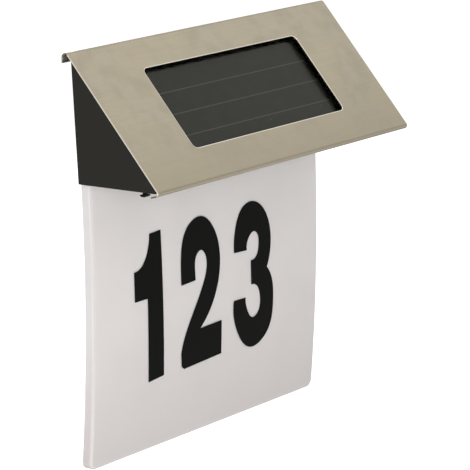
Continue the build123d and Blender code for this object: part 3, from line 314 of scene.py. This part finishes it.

# Outside: fine brushing across the roof and faint stains, with painted shade darkening the face towards the
# eaves and over the flange, a painted shadow line along the flange's end, and painted highlights with wear
# along the edges.
satin = surface("satin steel", paint(156, 149, 132), 0.4, metallic=1.0)
lay_colour(satin, paint(149, 142, 124), cloud(satin, 9), start=0.42, full=0.62)
broad_stain = cloud(satin, 22, stretch=(1.0, 1.3, 1.0))
lay_colour(satin, paint(159, 150, 130), broad_stain, start=0.45, full=0.65)
heat_stain = cloud(satin, 7, stretch=(1.6, 1.0, 1.0), detail=2.0)
lay_colour(satin, paint(162, 150, 127), heat_stain, start=0.5, share=0.3)
brushing = cloud(satin, 0.16, stretch=(120.0, 1.0, 1.0), detail=2.0)
lay_colour(satin, paint(144, 137, 120), brushing, start=0.35, full=0.75, share=0.3)
up = distance(satin)
# Painted shade: the face darkens from the middle down towards the eaves.
lay_colour(satin, paint(147, 139, 120), up, start=2.0, full=-21.0, share=0.7)
# Painted shade on the flange, darkest at its low edge.
lay_colour(satin, paint(122, 116, 103), up, start=-23.2, full=-24.0)
# Painted shadow: a dark line along the flange's end, stronger towards the right.
low_edge = between(satin, up, -23.2, -23.8)
to_the_right = between(satin, distance(satin, "X"), -20.0, 60.0, 0.0, 0.8)
painted_shadow_line = worked_out(satin, "MULTIPLY", low_edge, second=to_the_right)
lay_colour(satin, paint(84, 81, 75), painted_shadow_line, start=0.0, full=1.0)
# Lighter along the sharp edges: wear, and a painted edge highlight.
wear_and_highlight_edges(satin, paint(198, 192, 178), reach=0.3)
vary_gloss(satin, brushing, 0.38, 0.46)
relief(satin, brushing, 0.0012)
relief(satin, cloud(satin, 9, detail=1.0), 0.004)

# Inside: as it comes from the mill.
mill = surface("mill steel", paint(206, 199, 186), 0.42, metallic=1.0)
rolling = cloud(mill, 0.4, stretch=(1.0, 40.0, 40.0))
lay_colour(mill, paint(192, 185, 172), rolling)
vary_gloss(mill, rolling, 0.38, 0.48)
relief(mill, rolling, 0.002)

# Cut edges: bright from the shears, with painted shade on them at the wall and under the flange.
cut = surface("cut steel edge", paint(214, 208, 194), 0.3, metallic=1.0)
shear_marks = cloud(cut, 0.12)
lay_colour(cut, paint(194, 188, 174), shear_marks)
# Painted shade on the cut edges where they lie at the wall and under the flange.
lay_colour(cut, paint(92, 88, 78), distance(cut, "Y"), start=-3.1, full=-2.5)
lay_colour(cut, paint(92, 88, 78), distance(cut), start=-23.6, full=-24.0)
relief(cut, shear_marks, 0.01)
for finish in (satin, mill, cut):
    roof.data.materials.append(finish)

# ---------------------------------------------------------------------------------------------
# Tape. A thin double-sided adhesive frame between the steel and the housing, which holds the
# roof on. It stays out of sight under the sheet.
# ---------------------------------------------------------------------------------------------
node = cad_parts


def coat(piece, made):
    """The piece, or a CAD node, gets this finish in all its slots."""
    if not piece.material_slots:
        piece.data.materials.append(made)
    for place in piece.material_slots:
        place.material = made


tape = surface("adhesive tape", paint(196, 194, 188), 0.6)
threads = cloud(tape, 0.4, stretch=(1.0, 6.0, 6.0))
lay_colour(tape, paint(176, 173, 166), threads)
relief(tape, threads, 0.01)
coat(node["cover_tape"], tape)

# ---------------------------------------------------------------------------------------------
# Housing. A black moulded wedge, full width at its sides and deeper in the middle, with the
# pocket for the solar panel in its slope and bosses for every screw inside.
# ---------------------------------------------------------------------------------------------
moulded = surface("black moulded plastic", paint(22, 21, 17), 0.55, specular_ior_level=0.19)
spark = cloud(moulded, 0.35, detail=2.0)
lay_colour(moulded, paint(26, 25, 20), cloud(moulded, 14), share=0.5)
# Lighter along the sharp edges: wear, and a painted edge highlight.
wear_and_highlight_edges(moulded, paint(38, 37, 34), reach=0.25)
vary_gloss(moulded, spark, 0.46, 0.62)
relief(moulded, spark, 0.006)
coat(node["housing"], moulded)

# ---------------------------------------------------------------------------------------------
# Back cover. A black moulded plate that closes the housing and lies on the wall, with two
# keyholes for wall screws and closed pockets behind them, in the same plastic as the housing.
# ---------------------------------------------------------------------------------------------
coat(node["back_cover"], moulded)

# ---------------------------------------------------------------------------------------------
# Seal. A strip of foam rubber pressed between cover and housing, so that it bulges a little on
# both sides. It runs up the two ends and along the top, and is open at the bottom.
# ---------------------------------------------------------------------------------------------
SEAL_HALF = 77.0
SEAL_LOW = -23.8
SEAL_HIGH = 23.0
SEAL_FRONT = -2.0
SEAL_BACK = -2.8
SEAL_WIDTH = 2.0
SEAL_BULGE = 0.12
SEAL_STEPS = 6


def joined(shape, rings):
    """Faces between rings of like counts, and a cap at both ends."""
    for ring, after in zip(rings, rings[1:]):
        for index in range(len(ring)):
            shape.faces.new((ring[index - 1], ring[index], after[index], after[index - 1]))
    shape.faces.new(rings[0])
    shape.faces.new(rings[-1][::-1])
    bmesh.ops.recalc_face_normals(shape, faces=shape.faces)


def crisp(piece, angle):
    """Edges sharper than the angle stay sharp, the rest shade smooth."""
    shape = bmesh.new()
    shape.from_mesh(piece.data)
    for edge in shape.edges:
        edge.smooth = len(edge.link_faces) < 2 or edge.calc_face_angle(0) < math.radians(angle)
    shape.to_mesh(piece.data)
    shape.free()


outer_side = []
inner_side = []
for step in range(SEAL_STEPS + 1):
    part = step / SEAL_STEPS
    swell = SEAL_BULGE * (1 - (2 * part - 1) ** 2)
    y = SEAL_FRONT + part * (SEAL_BACK - SEAL_FRONT)
    outer_side.append((-swell, y))
    inner_side.append((SEAL_WIDTH + swell, y))
seal_section = outer_side + inner_side[::-1]
seal_mesh = bmesh.new()
seal_rings = []
for side, at_top in ((-1, False), (-1, True), (1, True), (1, False)):
    ring = []
    for inset, y in seal_section:
        z = SEAL_HIGH - inset if at_top else SEAL_LOW
        ring.append(spot(seal_mesh, side * (SEAL_HALF - inset), y, z))
    seal_rings.append(ring)
joined(seal_mesh, seal_rings)
seal_strip = shown("seal_strip", seal_mesh)
crisp(seal_strip, angle=50)
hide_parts("back_gasket")

seal = surface("foam rubber seal", paint(34, 34, 34), 0.85, specular_ior_level=0.2)
cells = cloud(seal, 0.5, detail=1.0)
lay_colour(seal, paint(20, 20, 20), cells, start=0.45, full=0.65)
relief(seal, cells, 0.08)
coat(seal_strip, seal)

# ---------------------------------------------------------------------------------------------
# Cover screws. Four countersunk stainless screws through the back cover; the lower two also
# pass through the number panel's tabs and so carry the panel.
# ---------------------------------------------------------------------------------------------
screw_steel = surface("bright screw steel", paint(196, 193, 186), 0.3, metallic=1.0)
turning = cloud(screw_steel, 0.5, stretch=(1.0, 0.2, 1.0))
lay_colour(screw_steel, paint(172, 169, 162), turning)
vary_gloss(screw_steel, turning, 0.22, 0.4)
relief(screw_steel, turning, 0.004)
coat(node["cover_screws"], screw_steel)

# ---------------------------------------------------------------------------------------------
# Number panel. A plate of opal acrylic with a slight bow and rounded, polished edges. Light
# enters its top edge; two tabs at the top go up into the housing and take the lower screws.
# ---------------------------------------------------------------------------------------------
def sideways(made):
    """How far the surface faces left or right, from 0 to 1."""
    facing = add_node(made, "NewGeometry")
    parts = add_node(made, "SeparateXYZ", Vector=facing.outputs["Normal"])
    return worked_out(made, "ABSOLUTE", parts.outputs["X"])


opal = surface("opal acrylic", paint(223, 219, 218), 0.5, specular_ior_level=0.1,
               subsurface_weight=0.9, subsurface_scale=2.5 * MM, subsurface_radius=(1.0, 0.95, 0.9))
lay_colour(opal, paint(220, 216, 215), cloud(opal, 30, detail=1.0))
# Painted shade on the rounded edges, where the sides turn into the face, and painted light on the sides
# themselves.
side_turn = sideways(opal)
lay_colour(opal, paint(203, 199, 199), side_turn, start=0.1, full=0.55)
lay_colour(opal, paint(224, 221, 221), side_turn, start=0.8, full=0.98)
# Painted shade: darker towards the bottom of the panel.
lay_colour(opal, paint(208, 203, 202), distance(opal), start=-90, full=-150)
vary_gloss(opal, cloud(opal, 6), 0.46, 0.56)
relief(opal, cloud(opal, 1.2, detail=1.0), 0.0015)
coat(node["number_panel"], opal)

# ---------------------------------------------------------------------------------------------
# Digits. Three figures cut from matt black vinyl film and stuck on the panel's face; the
# owner picks them from a sheet, so each is its own piece.
# ---------------------------------------------------------------------------------------------
vinyl = surface("matt black vinyl", paint(12, 12, 11), 0.6, specular_ior_level=0.03)
film = cloud(vinyl, 0.8)
lay_colour(vinyl, paint(17, 17, 16), film, share=0.6)
vary_gloss(vinyl, film, 0.52, 0.66)
relief(vinyl, film, 0.004)
for name in ("digit_1", "digit_2", "digit_3"):
    coat(node[name], vinyl)

# ---------------------------------------------------------------------------------------------
# Solar panel. Four dark silicon strips on a black board, joined by thin printed conductors and
# cast over with clear resin, seen through the roof's window.
# ---------------------------------------------------------------------------------------------
board_black = surface("black board", paint(20, 20, 18), 0.35, specular_ior_level=0.2)
weave = cloud(board_black, 0.6)
lay_colour(board_black, paint(25, 25, 22), weave)
relief(board_black, weave, 0.01)
coat(node["solar_board"], board_black)

silicon = surface("dark silicon", paint(19, 19, 16), 0.29, specular_ior_level=0.255,
                  specular_tint=(1.0, 0.99, 0.86, 1.0))
grain = cloud(silicon, 5, stretch=(1.6, 1.0, 1.0), detail=2.0)
lay_colour(silicon, paint(24, 24, 20), grain, full=0.65)
vary_gloss(silicon, grain, 0.28, 0.31)
coat(node["solar_cells"], silicon)

silver = surface("printed conductor", paint(58, 58, 53), 0.3, specular_ior_level=0.27)
print_grain = cloud(silver, 0.3)
lay_colour(silver, paint(50, 50, 46), print_grain)
relief(silver, print_grain, 0.01)
coat(node["solar_busbars"], silver)

CASTING = (-55.2, 56.8, 11.1, 57.1)
CASTING_TOP = -1.7
CASTING_LOW = -2.6
CASTING_CORNER = 1.0
CASTING_EDGE = 0.25
casting_outline = sum(round_corners(CASTING, CASTING_CORNER, steps=5), [])
casting_mesh = bmesh.new()
casting_rings = []
for level in (CASTING_TOP, CASTING_LOW):
    casting_rings.append([spot(casting_mesh, across, *up_roof(up, level)) for across, up in casting_outline])
joined(casting_mesh, casting_rings)
casting = shown("clear_casting", casting_mesh)
rounded_edges(casting, CASTING_EDGE)
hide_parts("solar_clear")

# The casting lets light through and hardly reflects: the finishes under it carry its gloss.
resin = surface("clear cast resin", (0.97, 0.97, 0.93, 1.0), 0.03, ior=1.002, transmission_weight=1.0,
                specular_tint=(0.0, 0.0, 0.0, 1.0))
relief(resin, cloud(resin, 22, detail=0.0), 0.004)
vary_gloss(resin, cloud(resin, 8), 0.02, 0.04)
coat(casting, resin)

# ---------------------------------------------------------------------------------------------
# Light. A narrow white board with four light sources sits over the panel's top edge. Each is a
# white moulded case with a cup full of yellow phosphor, and a clear strip closes the slot below.
# ---------------------------------------------------------------------------------------------
mask_white = surface("white solder mask", paint(222, 221, 215), 0.35)
mask_grain = cloud(mask_white, 1.5)
lay_colour(mask_white, paint(210, 209, 202), mask_grain, start=0.45)
vary_gloss(mask_white, mask_grain, 0.28, 0.42)
coat(node["led_board"], mask_white)

LED_PLACES = (-39.0, -13.0, 13.0, 39.0)
LED_MIDDLE = -3.6
LED_SIZE = (3.5, 2.8)
LED_TOP = -19.8
LED_LOW = -21.7
LED_CHAMFER = 0.12
CUP_SHARE = 0.72
CUP_DEPTH = 0.35
# Levels as (share of the case's size, height, corner radius): the case's from the board down
# and into its cup, the phosphor's from its back to its front.
CASE_LEVELS = (
    (1.0, LED_TOP, 0.2),
    (1.0, LED_LOW + LED_CHAMFER, 0.2),
    (0.93, LED_LOW, 0.15),
    (CUP_SHARE, LED_LOW, 0.5),
    (CUP_SHARE * 0.8, LED_LOW + CUP_DEPTH, 0.45),
)
PHOSPHOR_LEVELS = (
    (CUP_SHARE * 0.82, LED_LOW + CUP_DEPTH * 0.9, 0.45),
    (CUP_SHARE * 0.88, LED_LOW + CUP_DEPTH * 0.5, 0.45),
    (CUP_SHARE * 0.55, LED_LOW + CUP_DEPTH * 0.42, 0.3),
)


def level_ring(shape, middle, size, corner, height, steps):
    """Ring of vertices at one height: a rectangle round its middle, with round corners."""
    half_x = size[0] / 2
    half_y = size[1] / 2
    sides = (middle[0] - half_x, middle[0] + half_x, middle[1] - half_y, middle[1] + half_y)
    outline = sum(round_corners(sides, corner, steps), [])
    return [spot(shape, across, back, height) for across, back in outline]


def led_ring(shape, x, share, height, corner):
    """Ring round one light source, with sides that are a share of its case's."""
    size = [side * share for side in LED_SIZE]
    return level_ring(shape, (x, LED_MIDDLE), size, corner, height, steps=3)


case_mesh = bmesh.new()
phosphor_mesh = bmesh.new()
for x in LED_PLACES:
    joined(case_mesh, [led_ring(case_mesh, x, *level) for level in CASE_LEVELS])
    joined(phosphor_mesh, [led_ring(phosphor_mesh, x, *level) for level in PHOSPHOR_LEVELS])
cases = shown("led_cases", case_mesh)
glows = shown("led_windows", phosphor_mesh)
for piece in (cases, glows):
    crisp(piece, angle=35)
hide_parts("leds")

white_case = surface("white LED case", paint(232, 231, 226), 0.4)
case_grain = cloud(white_case, 0.4)
lay_colour(white_case, paint(222, 221, 215), case_grain)
relief(white_case, case_grain, 0.004)
coat(cases, white_case)

phosphor = surface("light source", paint(226, 214, 150), 0.25)
glow = cloud(phosphor, 1.0)
lay_colour(phosphor, paint(214, 199, 128), glow)
relief(phosphor, glow, 0.01)
coat(glows, phosphor)

acrylic = surface("clear acrylic", (0.98, 0.98, 0.97, 1.0), 0.08, ior=1.49, transmission_weight=1.0)
moulding_flow = cloud(acrylic, 4)
vary_gloss(acrylic, moulding_flow, 0.05, 0.12)
relief(acrylic, moulding_flow, 0.003)
coat(node["light_lens"], acrylic)

# ---------------------------------------------------------------------------------------------
# Control board. A small green circuit board on two posts, with the charge controller, the
# light's driver and a capacitor, held by two pan-head screws.
# ---------------------------------------------------------------------------------------------
circuit = surface("green circuit board", paint(38, 92, 52), 0.35)
copper_below = cloud(circuit, 2.2, detail=0.0)
TRACK_START = 0.5
TRACK_FULL = 0.53
lay_colour(circuit, paint(56, 118, 66), copper_below, TRACK_START, TRACK_FULL)
relief(circuit, between(circuit, copper_below, TRACK_START, TRACK_FULL), 0.03)
vary_gloss(circuit, cloud(circuit, 1.0), 0.28, 0.42)
coat(node["control_board"], circuit)

package = surface("moulded chip", paint(26, 26, 28), 0.6)
package_grain = cloud(package, 0.2)
lay_colour(package, paint(34, 34, 36), package_grain)
relief(package, package_grain, 0.01)
coat(node["control_chips"], package)

can = surface("sleeved can", paint(176, 178, 182), 0.3, metallic=1.0)
can_grain = cloud(can, 0.4, stretch=(1.0, 8.0, 1.0))
lay_colour(can, paint(156, 158, 162), can_grain)
relief(can, can_grain, 0.004)
coat(node["control_capacitor"], can)
coat(node["board_screws"], screw_steel)

# ---------------------------------------------------------------------------------------------
# Choke. A ferrite bobbin with two flanges, soldered to the control board's side that faces the
# wall, and wound with one layer of enamelled copper wire.
# ---------------------------------------------------------------------------------------------
CHOKE = (-30.0, -12.8, -15.6)
CHOKE_RADIUS = 2.6
CHOKE_CORE = 1.7
CHOKE_FLANGE = 0.7
CHOKE_HEIGHT = 3.6
CHOKE_CHAMFER = 0.15
CHOKE_SIDES = 40
# Levels as (distance from the bobbin's foot, radius).
BOBBIN_LEVELS = (
    (0.0, CHOKE_RADIUS - CHOKE_CHAMFER),
    (CHOKE_CHAMFER, CHOKE_RADIUS),
    (CHOKE_FLANGE, CHOKE_RADIUS),
    (CHOKE_FLANGE, CHOKE_CORE),
    (CHOKE_HEIGHT - CHOKE_FLANGE, CHOKE_CORE),
    (CHOKE_HEIGHT - CHOKE_FLANGE, CHOKE_RADIUS),
    (CHOKE_HEIGHT - CHOKE_CHAMFER, CHOKE_RADIUS),
    (CHOKE_HEIGHT, CHOKE_RADIUS - CHOKE_CHAMFER),
)
core_mesh = bmesh.new()
core_rings = []
for along, radius in BOBBIN_LEVELS:
    ring = []
    for step in range(CHOKE_SIDES):
        turn = 2 * math.pi * step / CHOKE_SIDES
        x = CHOKE[0] + radius * math.cos(turn)
        z = CHOKE[2] + radius * math.sin(turn)
        ring.append(spot(core_mesh, x, CHOKE[1] + along, z))
    core_rings.append(ring)
joined(core_mesh, core_rings)
core = shown("choke_core", core_mesh)
crisp(core, angle=35)
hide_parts("control_coil")
coat(core, package)

WINDING_WIRE = 0.21
WINDING_TURNS = 5
FLANGE_GAP = 0.03
CORE_GAP = 0.02
WIRE_SIDES = 8


def coil_path(turns, radius, start, end, steps, ease=0.0):
    """(along, across, up) of a coil's line, with that many steps a turn; ease draws the turns
    together at both ends."""
    points = []
    for step in range(turns * steps + 1):
        part = step / (turns * steps)
        turn = 2 * math.pi * turns * part
        along = start + (end - start) * (part - ease * math.sin(2 * math.pi * part))
        points.append((along, radius * math.cos(turn), radius * math.sin(turn)))
    return points


def wire(shape, path, radius):
    """A round wire that follows a path of points."""
    rings = []
    for index, point in enumerate(path):
        ahead = Vector(path[min(index + 1, len(path) - 1)]) - Vector(path[max(index - 1, 0)])
        facing = ahead.to_track_quat("Z", "Y")
        ring = []
        for side in range(WIRE_SIDES):
            turn = 2 * math.pi * side / WIRE_SIDES
            out = facing @ Vector((radius * math.cos(turn), radius * math.sin(turn), 0))
            ring.append(spot(shape, *(Vector(point) + out)))
        rings.append(ring)
    joined(shape, rings)


winding_start = CHOKE_FLANGE + WINDING_WIRE + FLANGE_GAP
winding_end = CHOKE_HEIGHT - winding_start
winding_radius = CHOKE_CORE + WINDING_WIRE + CORE_GAP
winding_line = coil_path(WINDING_TURNS, winding_radius, winding_start, winding_end, steps=28)
winding_path = []
for along, across, up in winding_line:
    winding_path.append((CHOKE[0] + across, CHOKE[1] + along, CHOKE[2] + up))
winding_mesh = bmesh.new()
wire(winding_mesh, winding_path, WINDING_WIRE)
winding = shown("choke_winding", winding_mesh)
copper = surface("enamelled copper", paint(196, 108, 58), 0.28, metallic=1.0)
enamel = cloud(copper, 0.5)
lay_colour(copper, paint(176, 92, 46), enamel)
vary_gloss(copper, enamel, 0.2, 0.36)
coat(winding, copper)

# ---------------------------------------------------------------------------------------------
# Battery. One rechargeable cell in a green shrink sleeve, in a bay between two nickel plated
# steel contacts. A coil spring on one of them presses the cell against the other.
# ---------------------------------------------------------------------------------------------
sleeve = surface("shrink sleeve", paint(44, 122, 70), 0.25)
wrinkle = cloud(sleeve, 2.5, stretch=(6.0, 1.0, 1.0))
lay_colour(sleeve, paint(38, 108, 61), wrinkle)
vary_gloss(sleeve, wrinkle, 0.18, 0.32)
relief(sleeve, wrinkle, 0.02)
coat(node["battery"], sleeve)

BATTERY_DEPTH = -20.245
BATTERY_HEIGHT = -13.655
SPRING_START = 42.9
SPRING_END = 47.6
SPRING_RADIUS = 3.4
SPRING_WIRE = 0.35
SPRING_TURNS = 5
SPRING_EASE = 0.09
spring_line = coil_path(SPRING_TURNS, SPRING_RADIUS - SPRING_WIRE, SPRING_START + SPRING_WIRE,
                        SPRING_END - SPRING_WIRE, steps=30, ease=SPRING_EASE)
spring_path = []
for along, across, up in spring_line:
    spring_path.append((along, BATTERY_DEPTH + across, BATTERY_HEIGHT + up))
spring_mesh = bmesh.new()
wire(spring_mesh, spring_path, SPRING_WIRE)
spring = shown("contact_spring", spring_mesh)
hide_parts("battery_spring")

spring_steel = surface("nickel plated spring steel", paint(200, 197, 190), 0.25, metallic=1.0)
plating = cloud(spring_steel, 0.6)
lay_colour(spring_steel, paint(180, 177, 168), plating)
vary_gloss(spring_steel, plating, 0.18, 0.32)
coat(node["battery_contacts"], spring_steel)
coat(spring, spring_steel)

# ---------------------------------------------------------------------------------------------
# Battery door. A flat hatch in the housing's underside, in the same black plastic, held by two
# small screws. A foam pad on its inside, rounded over at the top, keeps the cell from rattling.
# ---------------------------------------------------------------------------------------------
coat(node["battery_door"], moulded)
coat(node["door_screws"], screw_steel)

PAD_LENGTH = 40.0
PAD_WIDTH = 9.0
PAD_MIDDLE = (20.0, BATTERY_DEPTH)
PAD_FOOT = -22.3
PAD_CORNER = 1.0
# Levels as (height over the pad's foot, share of its width left by its rounded edge).
PAD_LEVELS = ((0.0, 1.0), (0.35, 1.0), (0.8, 0.985), (1.1, 0.97), (1.25, 0.94), (1.29, 0.8), (1.3, 0.4))
pad_mesh = bmesh.new()
pad_rings = []
for rise, share in PAD_LEVELS:
    size = (PAD_LENGTH - PAD_WIDTH * (1 - share), PAD_WIDTH * share)
    pad_rings.append(level_ring(pad_mesh, PAD_MIDDLE, size, PAD_CORNER * share, PAD_FOOT + rise, steps=5))
joined(pad_mesh, pad_rings)
pad = shown("foam_pad", pad_mesh, "battery_door")
crisp(pad, angle=60)
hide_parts("door_pad")

foam = surface("grey foam", paint(104, 104, 102), 0.9, specular_ior_level=0.2)
pores = cloud(foam, 0.5, detail=1.0)
lay_colour(foam, paint(78, 78, 76), pores, start=0.45, full=0.65)
relief(foam, pores, 0.1)
coat(pad, foam)

# ---------------------------------------------------------------------------------------------
# Switch. A slide switch in a moulded case on the floor of the housing; only its ribbed nub
# shows, under the left-hand side.
# ---------------------------------------------------------------------------------------------
coat(node["switch_body"], package)
nub_black = surface("black nub plastic", paint(12, 12, 12), 0.5, specular_ior_level=0.1)
nub_grain = cloud(nub_black, 0.3)
lay_colour(nub_black, paint(17, 17, 16), nub_grain)
relief(nub_black, nub_grain, 0.005)
coat(node["switch_button"], nub_black)

# ---------------------------------------------------------------------------------------------
# Wires. Thin insulated leads between the solar panel, the light, the switch, the battery and
# the control board, in red and black.
# ---------------------------------------------------------------------------------------------
for name, screen in (("red", (168, 28, 22)), ("black", (26, 26, 26))):
    lead = surface(name + " insulation", paint(*screen), 0.4)
    lead_grain = cloud(lead, 0.8)
    vary_gloss(lead, lead_grain, 0.32, 0.5)
    relief(lead, lead_grain, 0.01)
    coat(node["wires_" + name], lead)

# ---------------------------------------------------------------------------------------------
# Studio. A pale floor well below the sign, a white room round it, and three soft lamps: one
# from the front left, a weak one from above on the right, and one from behind on the right.
# Places and sizes here are in metres.
# ---------------------------------------------------------------------------------------------
FLOOR_HEIGHT = -0.36
FLOOR_REACH = 8.0
ROOM_LIGHT = 0.39
PAPER_LIFT = 0.74


def seen_straight(made):
    """1 for what the camera, a reflection or clear plastic looks at, and 0 for light on things."""
    path = add_node(made, "LightPath")
    total = path.outputs["Is Camera Ray"]
    for words in ("Is Glossy Ray", "Is Transmission Ray"):
        total = worked_out(made, "MAXIMUM", total, second=path.outputs[words])
    return total


def one_of(made, amount, first, second):
    """The first shader where the amount is 0, and the second where it is 1."""
    pick = add_node(made, "MixShader", Fac=amount)
    made.node_tree.links.new(first, pick.inputs[1])
    made.node_tree.links.new(second, pick.inputs[2])
    return pick.outputs["Shader"]


room = bpy.data.worlds.new("white room")
bpy.context.scene.world = room
room.use_nodes = True
lit = room.node_tree.nodes["Background"]
lit.inputs["Color"].default_value = (1.0, 0.99, 0.975, 1.0)
lit.inputs["Strength"].default_value = ROOM_LIGHT
white = add_node(room, "Background")
white.inputs["Color"].default_value = (1.0, 1.0, 1.0, 1.0)
white.inputs["Strength"].default_value = 1.0
room_seen = one_of(room, seen_straight(room), lit.outputs["Background"], white.outputs["Background"])
room.node_tree.links.new(room_seen, room.node_tree.nodes["World Output"].inputs["Surface"])

# The floor shows as white paper but keeps the sign's shadow, and is open when seen from below.
paper = surface("floor paper", (0.84, 0.84, 0.83, 1.0), 1.0, specular_ior_level=0.0)
lift = add_node(paper, "Emission", Strength=worked_out(paper, "MULTIPLY", seen_straight(paper), PAPER_LIFT))
both = add_node(paper, "AddShader")
paper.node_tree.links.new(paper.node_tree.nodes["Principled BSDF"].outputs["BSDF"], both.inputs[0])
paper.node_tree.links.new(lift.outputs["Emission"], both.inputs[1])
below = add_node(paper, "BsdfTransparent").outputs["BSDF"]
backfacing = add_node(paper, "NewGeometry").outputs["Backfacing"]
paper_seen = one_of(paper, backfacing, both.outputs["Shader"], below)
paper.node_tree.links.new(paper_seen, paper.node_tree.nodes["Material Output"].inputs["Surface"])

floor_mesh = bmesh.new()
bmesh.ops.create_grid(floor_mesh, x_segments=2, y_segments=2, size=FLOOR_REACH)
floor_data = bpy.data.meshes.new("floor")
floor_mesh.to_mesh(floor_data)
floor_mesh.free()
floor_data.materials.append(paper)
floor = bpy.data.objects.new("floor", floor_data)
floor.location = (0.0, 0.0, FLOOR_HEIGHT)
bpy.context.collection.objects.link(floor)


def soft_lamp(name, place, aim, size, power):
    """A square lamp at a place, turned to a point, hidden from the camera and in clear plastic."""
    lamp = bpy.data.lights.new(name, "AREA")
    lamp.shape = "SQUARE"
    lamp.size = size
    lamp.energy = power
    holder = bpy.data.objects.new(name, lamp)
    holder.location = place
    holder.rotation_euler = (Vector(aim) - Vector(place)).to_track_quat("-Z", "Y").to_euler()
    holder.visible_camera = False
    holder.visible_transmission = False
    bpy.context.collection.objects.link(holder)


MIDDLE = (0.0, -0.02, -0.06)
soft_lamp("left lamp", (-0.95, -0.85, 0.06), aim=(-0.03, 0.0, -0.05), size=0.6, power=11.5)
soft_lamp("roof lamp", (1.3, -0.42, 1.25), aim=MIDDLE, size=0.8, power=1.8)
soft_lamp("back lamp", (0.9, 1.3, 0.35), aim=MIDDLE, size=0.8, power=8.0)

bpy.context.scene.view_settings.view_transform = "Standard"
